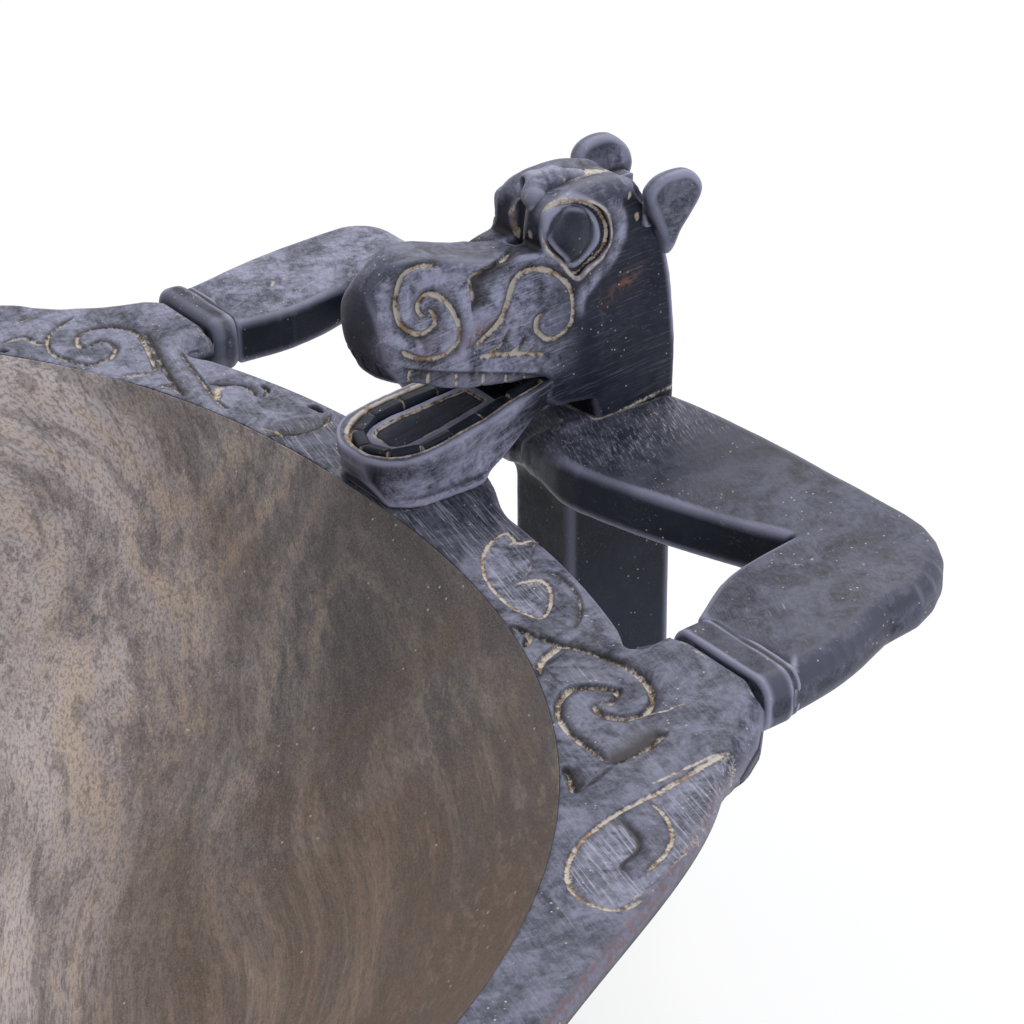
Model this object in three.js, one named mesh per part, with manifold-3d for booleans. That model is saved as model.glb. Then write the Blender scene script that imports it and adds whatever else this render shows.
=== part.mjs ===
// A carved wooden feast bowl, in millimetres, with +Z up and the floor at z = 0.
// A crouching figure stands at each end of the oval bowl. Its open jaw rests on the rim and its
// two bent arms reach round to hold the rim at the wrists, which wear carved bands.
// The bowl is the central carving. The pieces of each figure are joined to it, and to each other,
// by tenons in mortises, along the creases that the carver cut.
import * as THREE from 'three';
import { mergeVertices } from 'three/addons/utils/BufferGeometryUtils.js';
import Module from 'manifold-3d';

const wasm = await Module();
wasm.setup();

// Fit between two pieces that touch.
const clearance = 0.3;

// The bowl. The opening is a rounded oval whose exponent is 2 for an ellipse.
const openingLength = 572;
const openingWidth = 530;
const openingExponent = 2.31;
const rimHeight = 165;
const rimThickness = 10;
const rimEdgeRound = 2;
const rimUndercut = 6;
const bowlDepth = 136;
const bowlWall = 14;
const bowlSteepness = 2.6;
const footLength = 250;
const footWidth = 225;
const footFlare = 5;

// The flat rim, measured outwards from the opening.
const sideRimWidth = 20;
const handRimWidth = 44;
const neckRimWidth = 29;
const jawRimWidth = 43;
const jawSeatRun = 30;
const handLength = 64;

// The head, measured outwards from the end of the opening and upwards from the rim.
const snoutSetback = 3;
const headReach = 111;
const muzzleWidth = 27;
const muzzleHeight = 75;
const muzzleSlope = 0.11;
const muzzleRound = 13;
const snoutRound = 10;
const upperLipHeight = 39;
const mouthSetback = 62;
const mouthHeight = 26;
const headWidth = 29;
const foreheadSetback = 61;
const foreheadHeight = 84;
const foreheadRound = 7;

// The swelling brow over each eye, the eyes, and the rolled crest between the brows.
const browLength = 34;
const browHeight = 16;
const browThickness = 13;
const browTop = 87;
const crestSetback = 65;
const crestLength = 19;
const crestWidth = 9;
const crestRise = 5.5;
const crestPegDepth = 6;
const eyeDiameter = 24;
const eyeHeight = 71;
const eyeDepth = 4;
const eyeSink = 2;
const eyeTip = 1.6;
const eyeTipSpread = 0.7;
const eyeEdgeRound = 1.2;

// Ears.
const earThickness = 6;
const earInset = 3.5;
const earSplay = 0.2;
const earBaseDrop = 24;
const earReach = 8;
const earTenonDrop = 12;
const earTenonLength = 9;
const earTenonHeight = 8;
const earTenonThickness = 3.5;

// Lower jaw and tongue.
const jawWidth = 41;
const jawBackWidth = 29;
const jawBaseWidth = 37;
const jawWaist = 1.5;
const jawFrontHeight = 15.5;
const jawOverhang = 4;
const jawSeatLength = 36;
const throatHeight = 16;
const jawFrontRound = 16;
const lipWidth = 5;
const mouthFloorDepth = 5;
const mouthRound = 12;
const tongueSetback = 5;
const tongueRound = 8;
const tongueWidth = 17;
const tongueThickness = 4;
const tongueLength = 38;
const jawPegSetback = 11;
const jawPegLength = 18;
const jawPegWidth = 14;
const jawPegDepth = 5;
const jawTenonLength = 9;
const jawTenonWidth = 12;
const jawTenonHeight = 5;

// The post is the figure's body, from the floor up to the neck.
const postLength = 43;
const postWidth = 30;
const postEdgeRound = 3;
const chestReach = 9;
const chestDepth = 12;
const neckLength = 31;
const neckHeight = 7;
const neckTenonInset = 18;
const neckTenonHeight = 16;
const neckTenonLength = 12;
const neckTenonWidth = 12;

// Arms, wrists and bands. Inner and outer are distances from the middle of the figure.
// The skew is what the carver made the right elbow wider and squarer than the left one by.
const shoulderSetback = 56;
const elbowFront = 79;
const elbowInner = 119;
const elbowOuter = 166;
const elbowSkew = 9;
const elbowRound = 27;
const armSwell = 5;
const armBow = 4;
const wristInner = 126;
const wristWidth = 41;
const armThickness = 17;
const armTopAtBand = 5;
const armRise = 0.06;
const armRound = 5;
const armTenonDepth = 8.5;
const armTenonLength = 20;
const armTenonHeight = 8;
const bandSetback = 21;
const bandLength = 11;
const bandThickness = 18;
const bandProud = 2.5;
const bandRound = 3;
const wristTop = 3.5;
const wristBottom = -10;
const wristRoot = 26;
const wristSwell = 8;
const wristTenonWidth = 26;
const wristTenonHeight = 6;
const wristTenonDepth = 24;

// Smoothness of the curved pieces.
const openingSteps = 88;
const wallSteps = 8;
const outlineSteps = 120;
const eyeSteps = 28;

// Places that follow from the sizes above.
const halfLength = openingLength / 2;
const halfWidth = openingWidth / 2;
const meanRadius = (halfLength + halfWidth) / 2;
const postFront = headReach - postLength;
const neckFront = headReach - neckLength;
const bandEnd = bandSetback + bandLength;
const wristOuter = wristInner + wristWidth;
const armMiddle = armTopAtBand - armThickness / 2;
const jawSlope = (mouthHeight - jawFrontHeight) / mouthSetback;

// Finishes, from the photograph.
const finishes = {
  blackened: { color: 0x2c2d33, roughness: 0.42, metalness: 0.0 },
  bowl: { color: 0x453a33, roughness: 0.55, metalness: 0.0 },
  band: { color: 0x25262b, roughness: 0.38, metalness: 0.0 },
  eye: { color: 0x1f2025, roughness: 0.3, metalness: 0.0 },
  jaw: { color: 0x2f3038, roughness: 0.45, metalness: 0.0 },
};

// A closed geometry as a solid that can be joined and cut.
function solid(geometry) {
  const bare = geometry.clone();
  bare.deleteAttribute('normal');
  bare.deleteAttribute('uv');
  const merged = mergeVertices(bare, 1e-4);
  return new wasm.Manifold(new wasm.Mesh({
    numProp: 3,
    vertProperties: new Float32Array(merged.attributes.position.array),
    triVerts: new Uint32Array(merged.index.array),
  }));
}

// A named mesh with its own material, from a solid.
function mesh(name, shape, finish) {
  const data = shape.getMesh();
  const geometry = new THREE.BufferGeometry();
  geometry.setAttribute('position', new THREE.BufferAttribute(data.vertProperties, 3));
  geometry.setIndex(new THREE.BufferAttribute(data.triVerts, 1));
  geometry.computeVertexNormals();
  const made = new THREE.Mesh(geometry, new THREE.MeshStandardMaterial(finishes[finish]));
  made.name = name;
  return made;
}

// A box from its lowest to its highest corner.
function block(low, high) {
  const size = high.map((value, axis) => value - low[axis]);
  const box = new THREE.BoxGeometry(...size);
  box.translate(...high.map((value, axis) => (value + low[axis]) / 2));
  return box;
}

// A closed outline as a shape, from corner points.
function outline(points) {
  return new THREE.Shape(points.map(([x, y]) => new THREE.Vector2(x, y)));
}

// A smooth line through points, as a list of points.
function smooth(points, steps) {
  const curve = new THREE.SplineCurve(points.map(([x, y]) => new THREE.Vector2(x, y)));
  return curve.getPoints(steps).map((point) => [point.x, point.y]);
}

// An outline given a thickness, with its edges rounded inside that outline.
function slab(points, thickness, round) {
  return new THREE.ExtrudeGeometry(outline(points), {
    depth: thickness - 2 * round,
    bevelEnabled: round > 0,
    bevelThickness: round,
    bevelSize: round,
    bevelOffset: -round,
    bevelSegments: 2,
  }).translate(0, 0, round);
}

// A slab that lies flat between two heights.
function flatSlab(points, bottom, top, round) {
  return slab(points, top - bottom, round).translate(0, 0, bottom);
}

// A slab whose outline is seen from the side, as length and height, between two places across.
function sideSlab(points, from, to, round) {
  return slab(points, to - from, round).rotateX(Math.PI / 2).translate(0, to, 0);
}

// A slab whose outline is seen from the end, as width and height, between two places along.
function endSlab(points, from, to, round) {
  return slab(points, to - from, round)
    .rotateX(Math.PI / 2)
    .rotateZ(Math.PI / 2)
    .translate(from, 0, 0);
}

// Raises a geometry in proportion to its distance along from a place.
function tilt(geometry, slope, from) {
  const position = geometry.attributes.position;
  for (let i = 0; i < position.count; i += 1) {
    position.setZ(i, position.getZ(i) + slope * (position.getX(i) - from));
  }
  return geometry;
}

// Moves a geometry sideways in proportion to its height above a place.
function splay(geometry, slope, from) {
  const position = geometry.attributes.position;
  for (let i = 0; i < position.count; i += 1) {
    position.setY(i, position.getY(i) + slope * (position.getZ(i) - from));
  }
  return geometry;
}

// A rounded rectangle as corner points, from its lowest to its highest corner.
function roundedRectangle(low, high, radius) {
  const points = [];
  const corners = [[high[0], high[1], 0], [low[0], high[1], 1], [low[0], low[1], 2], [high[0], low[1], 3]];
  for (const [x, y, quarter] of corners) {
    const centre = [x - radius * (x === high[0] ? 1 : -1), y - radius * (y === high[1] ? 1 : -1)];
    for (let step = 0; step <= 3; step += 1) {
      const angle = (quarter + step / 3) * Math.PI / 2;
      points.push([centre[0] + radius * Math.cos(angle), centre[1] + radius * Math.sin(angle)]);
    }
  }
  return points;
}

// A value that eases from 0 to 1 between two places.
function ease(value, from, to) {
  const share = THREE.MathUtils.clamp((value - from) / (to - from), 0, 1);
  return share * share * (3 - 2 * share);
}

// The point of the opening's oval at an angle, for a scale of 1 at the rim's inner edge.
function ovalPoint(angle, scale) {
  const power = 2 / openingExponent;
  const along = Math.sign(Math.cos(angle)) * Math.abs(Math.cos(angle)) ** power;
  const across = Math.sign(Math.sin(angle)) * Math.abs(Math.sin(angle)) ** power;
  return [scale * halfLength * along, scale * halfWidth * across];
}

// A turned profile of radius and height, stretched from a circle to the opening's oval.
function ovalTurning(profile) {
  const points = profile.map(([radius, height]) => new THREE.Vector2(radius, height));
  const turned = new THREE.LatheGeometry(points, openingSteps);
  turned.rotateX(Math.PI / 2);
  const position = turned.attributes.position;
  for (let i = 0; i < position.count; i += 1) {
    const x = position.getX(i);
    const y = position.getY(i);
    const [along, across] = ovalPoint(Math.atan2(y, x), Math.hypot(x, y) / meanRadius);
    position.setXY(i, along, across);
  }
  return turned;
}

// Height of the bowl's inside below the rim, at a share of its radius.
function insideHeight(share) {
  return -bowlDepth * (1 - share ** bowlSteepness);
}

// The hollow of the bowl, taller than the rim so that it cuts right through it.
function hollow() {
  const profile = [];
  for (let step = 0; step <= wallSteps; step += 1) {
    const share = Math.sin(step / wallSteps * Math.PI / 2);
    profile.push([share * meanRadius, insideHeight(share)]);
  }
  profile.push([meanRadius, rimThickness * 2], [0, rimThickness * 2]);
  return solid(ovalTurning(profile));
}

// The outside of the bowl's wall, one wall thickness away from the hollow.
function hull() {
  const profile = [];
  for (let step = 0; step <= wallSteps; step += 1) {
    const share = Math.sin(step / wallSteps * Math.PI / 2);
    const slope = bowlDepth * bowlSteepness * share ** (bowlSteepness - 1) / meanRadius;
    const lean = Math.hypot(1, slope);
    profile.push([
      share * meanRadius + bowlWall * slope / lean,
      insideHeight(share) - bowlWall / lean,
    ]);
  }
  profile.push([0, profile[wallSteps][1]]);
  return solid(ovalTurning(profile));
}

// The foot under the bowl, an oval that flares a little towards the floor.
function foot() {
  const top = -bowlDepth;
  const points = [];
  for (let step = 0; step < openingSteps; step += 1) {
    const [along, across] = ovalPoint(step / openingSteps * Math.PI * 2, 1);
    points.push([along / openingLength, across / openingWidth]);
  }
  const geometry = flatSlab(points, -rimHeight, top, 0);
  const position = geometry.attributes.position;
  for (let i = 0; i < position.count; i += 1) {
    const flare = position.getZ(i) > (top - rimHeight) / 2 ? footFlare * 2 : 0;
    position.setX(i, position.getX(i) * (footLength - flare));
    position.setY(i, position.getY(i) * (footWidth - flare));
  }
  return solid(geometry);
}

// Width of the flat rim where the opening's edge is this far from the middle line.
function rimWidth(across) {
  const jawEdge = muzzleWidth / 3;
  const jaw = (jawRimWidth - neckRimWidth) * (1 - ease(across, jawEdge, jawEdge + jawSeatRun));
  const hand = (handRimWidth - neckRimWidth) * ease(across, wristInner - 6, wristOuter - 15);
  const side = (handRimWidth - sideRimWidth) * ease(across, wristOuter - 15, wristOuter + handLength);
  return neckRimWidth + jaw + hand - side;
}

// The flat rim, before the hollow is cut through it.
function rimPlate() {
  const points = [];
  for (let step = 0; step < outlineSteps; step += 1) {
    const angle = (step + 0.5) / outlineSteps * Math.PI * 2;
    const [along, across] = ovalPoint(angle, 1);
    const nx = Math.sign(along) * Math.abs(along / halfLength) ** (openingExponent - 1) / halfLength;
    const ny = Math.sign(across) * Math.abs(across / halfWidth) ** (openingExponent - 1) / halfWidth;
    const reach = rimWidth(Math.abs(across)) / Math.hypot(nx, ny);
    points.push([along + nx * reach, across + ny * reach]);
  }
  const plate = flatSlab(points, -rimThickness, 0, rimEdgeRound);
  const position = plate.attributes.position;
  for (let i = 0; i < position.count; i += 1) {
    const reach = Math.hypot(position.getX(i), position.getY(i));
    const share = position.getZ(i) < -rimThickness / 2 ? 1 - rimUndercut / reach : 1;
    position.setXY(i, position.getX(i) * share, position.getY(i) * share);
  }
  return solid(plate);
}

// The wrist at one side of a figure. It is part of the rim and ends at the band.
function wrist(side) {
  const end = bandSetback - clearance;
  const profile = [
    [-wristRoot, wristBottom], [end, wristBottom], [end, wristTop], [end - wristSwell, wristTop * 0.7],
    [0, 0], [-wristRoot, 0],
  ];
  const from = side > 0 ? wristInner : -wristOuter;
  return solid(sideSlab(profile, from, from + wristWidth, 0));
}

// The tenon that runs from the forearm through the band into the wrist.
function wristTenon(side, gap) {
  const middle = side * (wristInner + wristOuter) / 2;
  const halfWide = wristTenonWidth / 2 + gap;
  const halfHigh = wristTenonHeight / 2 + gap;
  return block(
    [bandSetback - wristTenonDepth - gap, middle - halfWide, armMiddle - halfHigh],
    [bandEnd + armRound * 2, middle + halfWide, armMiddle + halfHigh],
  );
}

// The peg under the jaw that stands in the rim.
function jawPeg(gap) {
  const from = jawPegSetback;
  return block(
    [from - gap, -jawPegWidth / 2 - gap, -jawPegDepth - gap],
    [from + jawPegLength + gap, jawPegWidth / 2 + gap, jawFrontHeight / 2],
  );
}

// The tenon behind the jaw that stands in the neck.
function jawTenon(gap) {
  const middle = (mouthHeight + throatHeight) / 2;
  return block(
    [neckFront - jawTenonLength, -jawTenonWidth / 2 - gap, middle - jawTenonHeight / 2 - gap],
    [neckFront + jawTenonLength + gap, jawTenonWidth / 2 + gap, middle + jawTenonHeight / 2 + gap],
  );
}

// The tenon on top of the post that stands in the neck.
function neckTenon(gap) {
  const from = headReach - neckTenonInset;
  return block(
    [from - gap, -neckTenonWidth / 2 - gap, neckHeight - neckTenonHeight],
    [from + neckTenonLength + gap, neckTenonWidth / 2 + gap, neckHeight + neckTenonHeight + gap],
  );
}

// The tenon of an arm in the side of the post.
function shoulderTenon(side, gap) {
  const middle = headReach - postLength / 2;
  const height = armMiddle + armRise * (middle - bandEnd);
  const near = side * (postWidth / 2 - armTenonDepth - gap);
  const far = side * (postWidth / 2 + armRound * 2);
  return block(
    [middle - armTenonLength / 2 - gap, Math.min(near, far), height - armTenonHeight / 2 - gap],
    [middle + armTenonLength / 2 + gap, Math.max(near, far), height + armTenonHeight / 2 + gap],
  );
}

// The tenon of an ear in the back of the head.
function earTenon(side, gap) {
  const height = foreheadHeight - earTenonDrop;
  const back = headReach - earTenonLength;
  const inner = side * (headWidth / 2 - 1 - earTenonThickness / 2);
  return block(
    [back - earTenonLength - gap, inner - earTenonThickness / 2 - gap, height - earTenonHeight / 2 - gap],
    [back + 4, inner + earTenonThickness / 2 + gap, height + earTenonHeight / 2 + gap],
  );
}

// The peg under the crest that stands in the forehead.
function crestPeg(gap) {
  const from = crestSetback + crestLength / 4;
  return block(
    [from - gap, -crestWidth / 4 - gap, foreheadHeight - crestPegDepth - gap],
    [from + crestLength / 2 + gap, crestWidth / 4 + gap, foreheadHeight + crestRise / 3],
  );
}

// The outline of an eye, a circle with a tip that points down and forward.
function eyeOutline(gap) {
  const centre = [foreheadSetback + eyeDiameter / 2 + 0.5, eyeHeight];
  const points = [];
  for (let step = 0; step < eyeSteps; step += 1) {
    const angle = step / eyeSteps * Math.PI * 2;
    const fromTip = Math.abs(angle - Math.PI * 1.5);
    const radius = eyeDiameter / 2 + gap + eyeTip * Math.max(0, 1 - fromTip / eyeTipSpread) ** 1.5;
    points.push([centre[0] + radius * Math.cos(angle), centre[1] + radius * Math.sin(angle)]);
  }
  return points;
}

// A slab on one side of the figure, between two distances from the middle line.
function pairedSlab(points, inner, outer, side, round) {
  return side > 0 ? sideSlab(points, inner, outer, round) : sideSlab(points, -outer, -inner, round);
}

// Seen from the side: the muzzle, from the lip over the snout to the forehead.
function muzzleProfile() {
  const front = snoutSetback;
  const dip = muzzleHeight - muzzleSlope * (foreheadSetback - front);
  const nose = smooth([
    [front + 4, upperLipHeight], [front + 1, upperLipHeight + 8], [front, muzzleHeight - 22],
    [front + 3, muzzleHeight - 9], [front + 12, muzzleHeight - 1], [front + 30, muzzleHeight - 3],
    [foreheadSetback - 10, dip], [foreheadSetback + 6, dip],
  ], 20);
  const back = foreheadSetback + 20;
  return [
    [back, mouthHeight + clearance], [mouthSetback, mouthHeight + clearance],
    [mouthSetback / 2, mouthHeight + (upperLipHeight - mouthHeight) * 0.72],
    ...nose, [back, dip],
  ];
}

// Seen from the side: the forehead, the back of the head and the neck.
function skullProfile() {
  const back = headReach;
  const cheek = mouthHeight + clearance;
  const skull = smooth([
    [foreheadSetback, foreheadHeight - 6], [foreheadSetback + 6, foreheadHeight],
    [back - 20, foreheadHeight + 1], [back - 13, foreheadHeight - 4], [back - 6, foreheadHeight - 18],
    [back - 3, foreheadHeight - 30], [back, neckHeight + 22],
  ], 18);
  return [
    [neckFront + clearance, neckHeight + clearance], [neckFront + clearance, cheek], [mouthSetback, cheek],
    [foreheadSetback, cheek + 8], ...skull, [back, neckHeight + clearance],
  ];
}

// Seen from the end: a width with round upper corners.
function arch(width, bottom, top, radius) {
  const points = [[-width / 2, bottom]];
  for (const side of [-1, 1]) {
    for (let step = 0; step <= 4; step += 1) {
      const angle = side < 0 ? Math.PI * (1 - step / 8) : Math.PI / 2 * (1 - step / 4);
      const centre = side * (width / 2 - radius);
      points.push([centre + radius * Math.cos(angle), top - radius + radius * Math.sin(angle)]);
    }
  }
  points.push([width / 2, bottom]);
  return points;
}

// Seen from above: an outline with a round front, as wide at the back as its last value says.
function roundedFront(front, width, back, run, backWidth = width) {
  const half = width / 2;
  const nose = smooth([
    [front + run, -half], [front + run * 0.3, -half * 0.86], [front, -half * 0.4],
    [front, half * 0.4], [front + run * 0.3, half * 0.86], [front + run, half],
  ], 14);
  return [[back, -backWidth / 2], ...nose, [back, backWidth / 2]];
}

function makeHead(prefix) {
  const half = headWidth / 2;
  const dome = endSlab(arch(muzzleWidth, 0, muzzleHeight, muzzleRound), 0, headReach, 0);
  const snout = roundedFront(snoutSetback, muzzleWidth, headReach, snoutRound);
  const muzzle = solid(sideSlab(muzzleProfile(), -half, half, 0))
    .intersect(solid(flatSlab(snout, 0, browTop * 2, 0)))
    .intersect(solid(tilt(dome, -muzzleSlope, snoutSetback + snoutRound)));
  const skull = solid(sideSlab(skullProfile(), -half, half, 0))
    .intersect(solid(endSlab(arch(headWidth, 0, foreheadHeight + 1, foreheadRound), 0, headReach + 1, 0)));
  let head = muzzle.add(skull);
  const browMiddle = [foreheadSetback + browLength / 2, half - browThickness / 3, browTop - browHeight / 2];
  for (const side of [1, -1]) {
    const brow = new THREE.SphereGeometry(0.5, 16, 10)
      .scale(browLength, browThickness, browHeight)
      .translate(browMiddle[0], side * browMiddle[1], browMiddle[2]);
    head = head.add(solid(brow));
  }
  for (const side of [1, -1]) {
    const socket = pairedSlab(eyeOutline(clearance), half - eyeSink - clearance, headWidth, side, 0);
    head = head.subtract(solid(socket)).subtract(solid(earTenon(side, clearance)));
  }
  head = head.subtract(solid(neckTenon(clearance)));
  head = head.subtract(solid(jawTenon(clearance)));
  head = head.subtract(solid(crestBed(clearance)));
  return mesh(`${prefix}_head`, head, 'blackened');
}

// The crest, a roll that lies along the forehead with its peg under it.
function crestBed(gap) {
  const bottom = foreheadHeight - 2 - gap;
  const outline = arch(crestWidth + 2 * gap, bottom, foreheadHeight + crestRise + gap, crestWidth / 2);
  const from = crestSetback - gap;
  const roll = solid(endSlab(outline, from, from + crestLength + 2 * gap, 0));
  return mesh('crest', roll.add(solid(crestPeg(gap))), 'blackened').geometry;
}

function makeCrest(prefix) {
  return mesh(`${prefix}_crest`, solid(crestBed(0)), 'blackened');
}

function makeEye(prefix, hand, side) {
  const inner = headWidth / 2 - eyeSink;
  const lens = pairedSlab(eyeOutline(0), inner, inner + eyeDepth, side, eyeEdgeRound);
  return mesh(`${prefix}_${hand}_eye`, solid(lens), 'eye');
}

function makeEar(prefix, hand, side) {
  const back = headReach - 1;
  const top = foreheadHeight;
  const gap = clearance + 1;
  const leaf = [
    [back - 13 + gap, top - 2], [back - 9, top + 1.5], [back - 3, top + 3],
    [back + earReach - 5, top], [back + earReach - 2, top - 6], [back + earReach - 5, top - 11],
    [back, top - 19], [back - 2.5 + gap, top - 25], [back - 4.5 + gap, top - 20], [back - 8 + gap, top - 12],
  ];
  const inner = headWidth / 2 - earInset;
  const flat = pairedSlab(leaf, inner, inner + earThickness, side, 1.5);
  const ear = solid(splay(flat, side * earSplay, foreheadHeight - earBaseDrop)).add(solid(earTenon(side, 0)));
  return mesh(`${prefix}_${hand}_ear`, ear, 'blackened');
}

// The jaw's outline seen from the side, from the rim up to the lip.
function jawProfile() {
  return [
    [snoutSetback - 2, clearance], [jawSeatLength, clearance], [jawSeatLength + 11, throatHeight / 2],
    [jawSeatLength + 21, throatHeight - 1], [neckFront, throatHeight], [neckFront, mouthHeight],
    [mouthSetback, mouthHeight], [snoutSetback + 4, jawFrontHeight], [-jawOverhang, jawFrontHeight + 2],
    [-jawOverhang + 1, jawFrontHeight / 2],
  ];
}

// Height of the lip above the rim at a place along.
function lipHeight(along) {
  return jawFrontHeight + jawSlope * along;
}

function makeJaw(prefix) {
  const base = jawBaseWidth / 2;
  const side = jawWidth / 2;
  const across = [
    [-base, 0], [-base + jawWaist, jawFrontHeight / 3], [-side, jawFrontHeight - 2], [-side, browTop],
    [side, browTop], [side, jawFrontHeight - 2], [base - jawWaist, jawFrontHeight / 3], [base, 0],
  ];
  const plan = roundedFront(-jawOverhang, jawWidth, mouthSetback, jawFrontRound, jawBackWidth);
  const neck = block([mouthSetback - 1, -jawBackWidth / 2, 0], [neckFront, jawBackWidth / 2, browTop]);
  const insideFront = lipWidth - jawOverhang;
  const insideWidth = jawWidth - 2 * lipWidth;
  const insideBack = jawBackWidth - 2 * lipWidth;
  const inside = roundedFront(insideFront, insideWidth, mouthSetback - lipWidth, mouthRound, insideBack);
  const floor = tilt(flatSlab(inside, -mouthFloorDepth, mouthHeight, 0), jawSlope, 0);
  floor.translate(0, 0, lipHeight(0));
  const jaw = solid(sideSlab(jawProfile(), -side, side, 0))
    .intersect(solid(endSlab(across, -jawOverhang * 2, headReach, 0)))
    .intersect(solid(flatSlab(plan, -jawPegDepth, browTop, 0)).add(solid(neck)))
    .subtract(solid(floor))
    .add(solid(jawPeg(0)))
    .add(solid(jawTenon(0)));
  return mesh(`${prefix}_lower_jaw`, jaw, 'jaw');
}

function makeTongue(prefix) {
  const front = tongueSetback;
  const plan = roundedFront(front, tongueWidth, front + tongueLength, tongueRound);
  const bottom = clearance - mouthFloorDepth;
  const tongue = tilt(flatSlab(plan, bottom, bottom + tongueThickness, 1), jawSlope, 0);
  tongue.translate(0, 0, lipHeight(0));
  return mesh(`${prefix}_tongue`, solid(tongue), 'jaw');
}

function makePost(prefix) {
  const half = postWidth / 2;
  const section = roundedRectangle([postFront, -half], [headReach, half], postEdgeRound);
  const chest = [
    [postFront + postEdgeRound, neckHeight - chestDepth * 2], [postFront - chestReach, -chestDepth / 2],
    [postFront - chestReach, 0], [postFront, neckHeight], [postFront + postLength / 2, neckHeight],
  ];
  let post = solid(flatSlab(section, -rimHeight, neckHeight, 0))
    .add(solid(sideSlab(chest, -half, half, 0)))
    .add(solid(neckTenon(0)));
  for (const side of [1, -1]) {
    post = post.subtract(solid(shoulderTenon(side, clearance)));
  }
  return mesh(`${prefix}_post`, post, 'blackened');
}

// The bent arm seen from above, from the shoulder round the elbow to the band.
function armPlan(side) {
  const shoulder = postWidth / 2 + clearance;
  const back = headReach;
  const start = bandEnd + clearance;
  const inner = elbowInner + elbowSkew * side;
  const outer = elbowOuter + elbowSkew * side;
  const radius = elbowRound - elbowSkew * side;
  const upper = smooth([
    [shoulderSetback + 2, shoulder], [shoulderSetback, shoulder + 20],
    [(shoulderSetback + elbowFront) / 2, inner - 30], [elbowFront, inner],
  ], 8);
  const hollow = [(start + elbowFront) / 2 - armBow, (inner + wristInner) / 2 - armBow];
  const forearm = smooth([[elbowFront, inner], hollow, [start, wristInner]], 4);
  const swing = [(start + back - radius) / 2, (wristOuter + outer) / 2 + armBow / 2];
  const outside = smooth([[start, wristOuter], swing, [back - radius, outer]], 4);
  const centre = [back + armSwell - radius, outer - radius];
  const elbow = [];
  for (let step = 1; step <= 6; step += 1) {
    const angle = step / 6 * Math.PI / 2;
    elbow.push([centre[0] + radius * Math.sin(angle), centre[1] + radius * Math.cos(angle)]);
  }
  const swell = [[back + armSwell, shoulder + 40], [back + armSwell / 2, shoulder + 10], [back, shoulder]];
  const points = [...upper, ...forearm.slice(1), ...outside, ...elbow, ...swell];
  return points.map(([along, across]) => [along, side * across]);
}

function makeArm(prefix, hand, side) {
  const plan = flatSlab(armPlan(side), armTopAtBand - armThickness, armTopAtBand, armRound);
  let arm = solid(tilt(plan, armRise, bandEnd));
  const start = bandEnd + clearance;
  const high = armThickness * 2;
  const wide = elbowOuter * 2;
  const besidePost = postWidth / 2 + clearance;
  const behindBand = block([-high, -wide, -high], [start, wide, high]);
  const pastShoulder = block([0, -besidePost, -high], [wide, besidePost, high]);
  arm = arm.subtract(solid(behindBand)).subtract(solid(pastShoulder));
  arm = arm.add(solid(wristTenon(side, 0))).add(solid(shoulderTenon(side, 0)));
  const besideNeck = headWidth / 2 + clearance;
  const neckNotch = block([neckFront, -besideNeck, neckHeight], [headReach + clearance, besideNeck, high]);
  return mesh(`${prefix}_${hand}_arm`, arm.subtract(solid(neckNotch)), 'blackened');
}

function makeBand(prefix, hand, side) {
  const inner = side > 0 ? wristInner : -wristOuter;
  const low = [inner - bandProud, armTopAtBand + bandProud - bandThickness];
  const high = [inner + wristWidth + bandProud, armTopAtBand + bandProud];
  const section = roundedRectangle(low, high, armRound + 1);
  const ring = solid(endSlab(section, bandSetback, bandEnd, bandRound - 1));
  return mesh(`${prefix}_${hand}_band`, ring.subtract(solid(wristTenon(side, clearance))), 'band');
}

// Moves a geometry from a figure's own place to its end of the bowl.
function atEnd(geometry, end) {
  geometry.translate(halfLength, 0, 0);
  return end > 0 ? geometry : geometry.rotateZ(Math.PI);
}

function makeBowl() {
  let bowl = hull().add(foot()).add(rimPlate());
  const wrists = [];
  for (const end of [1, -1]) {
    for (const side of [1, -1]) {
      wrists.push([end, side]);
    }
  }
  for (const [end, side] of wrists) {
    const placed = mesh('wrist', wrist(side), 'bowl').geometry;
    bowl = bowl.add(solid(atEnd(placed, end)));
  }
  bowl = bowl.subtract(hollow());
  for (const [end, side] of wrists) {
    bowl = bowl.subtract(solid(atEnd(wristTenon(side, clearance), end)));
  }
  for (const end of [1, -1]) {
    bowl = bowl.subtract(solid(atEnd(jawPeg(clearance), end)));
  }
  const made = mesh('bowl', bowl, 'bowl');
  made.position.z = rimHeight;
  return made;
}

function makeFigure(prefix) {
  const figure = new THREE.Group();
  figure.add(makePost(prefix), makeHead(prefix), makeCrest(prefix), makeJaw(prefix), makeTongue(prefix));
  for (const [hand, side] of [['right', 1], ['left', -1]]) {
    figure.add(makeArm(prefix, hand, side), makeBand(prefix, hand, side));
    figure.add(makeEye(prefix, hand, side), makeEar(prefix, hand, side));
  }
  figure.position.set(halfLength, 0, rimHeight);
  const turned = new THREE.Group();
  turned.add(figure);
  return turned;
}

const feastBowl = new THREE.Group();
feastBowl.add(makeBowl());
const frontFigure = makeFigure('front');
const backFigure = makeFigure('back');
backFigure.rotation.z = Math.PI;
feastBowl.add(frontFigure, backFigure);

export default feastBowl;
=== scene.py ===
"""Carves an oval wooden feast bowl that is held at each end by a crouching figure."""
import functools
import math

import bpy
import numpy as np
from bpy.props import FloatProperty, FloatVectorProperty, PointerProperty
from mathutils import Matrix, Vector


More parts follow.
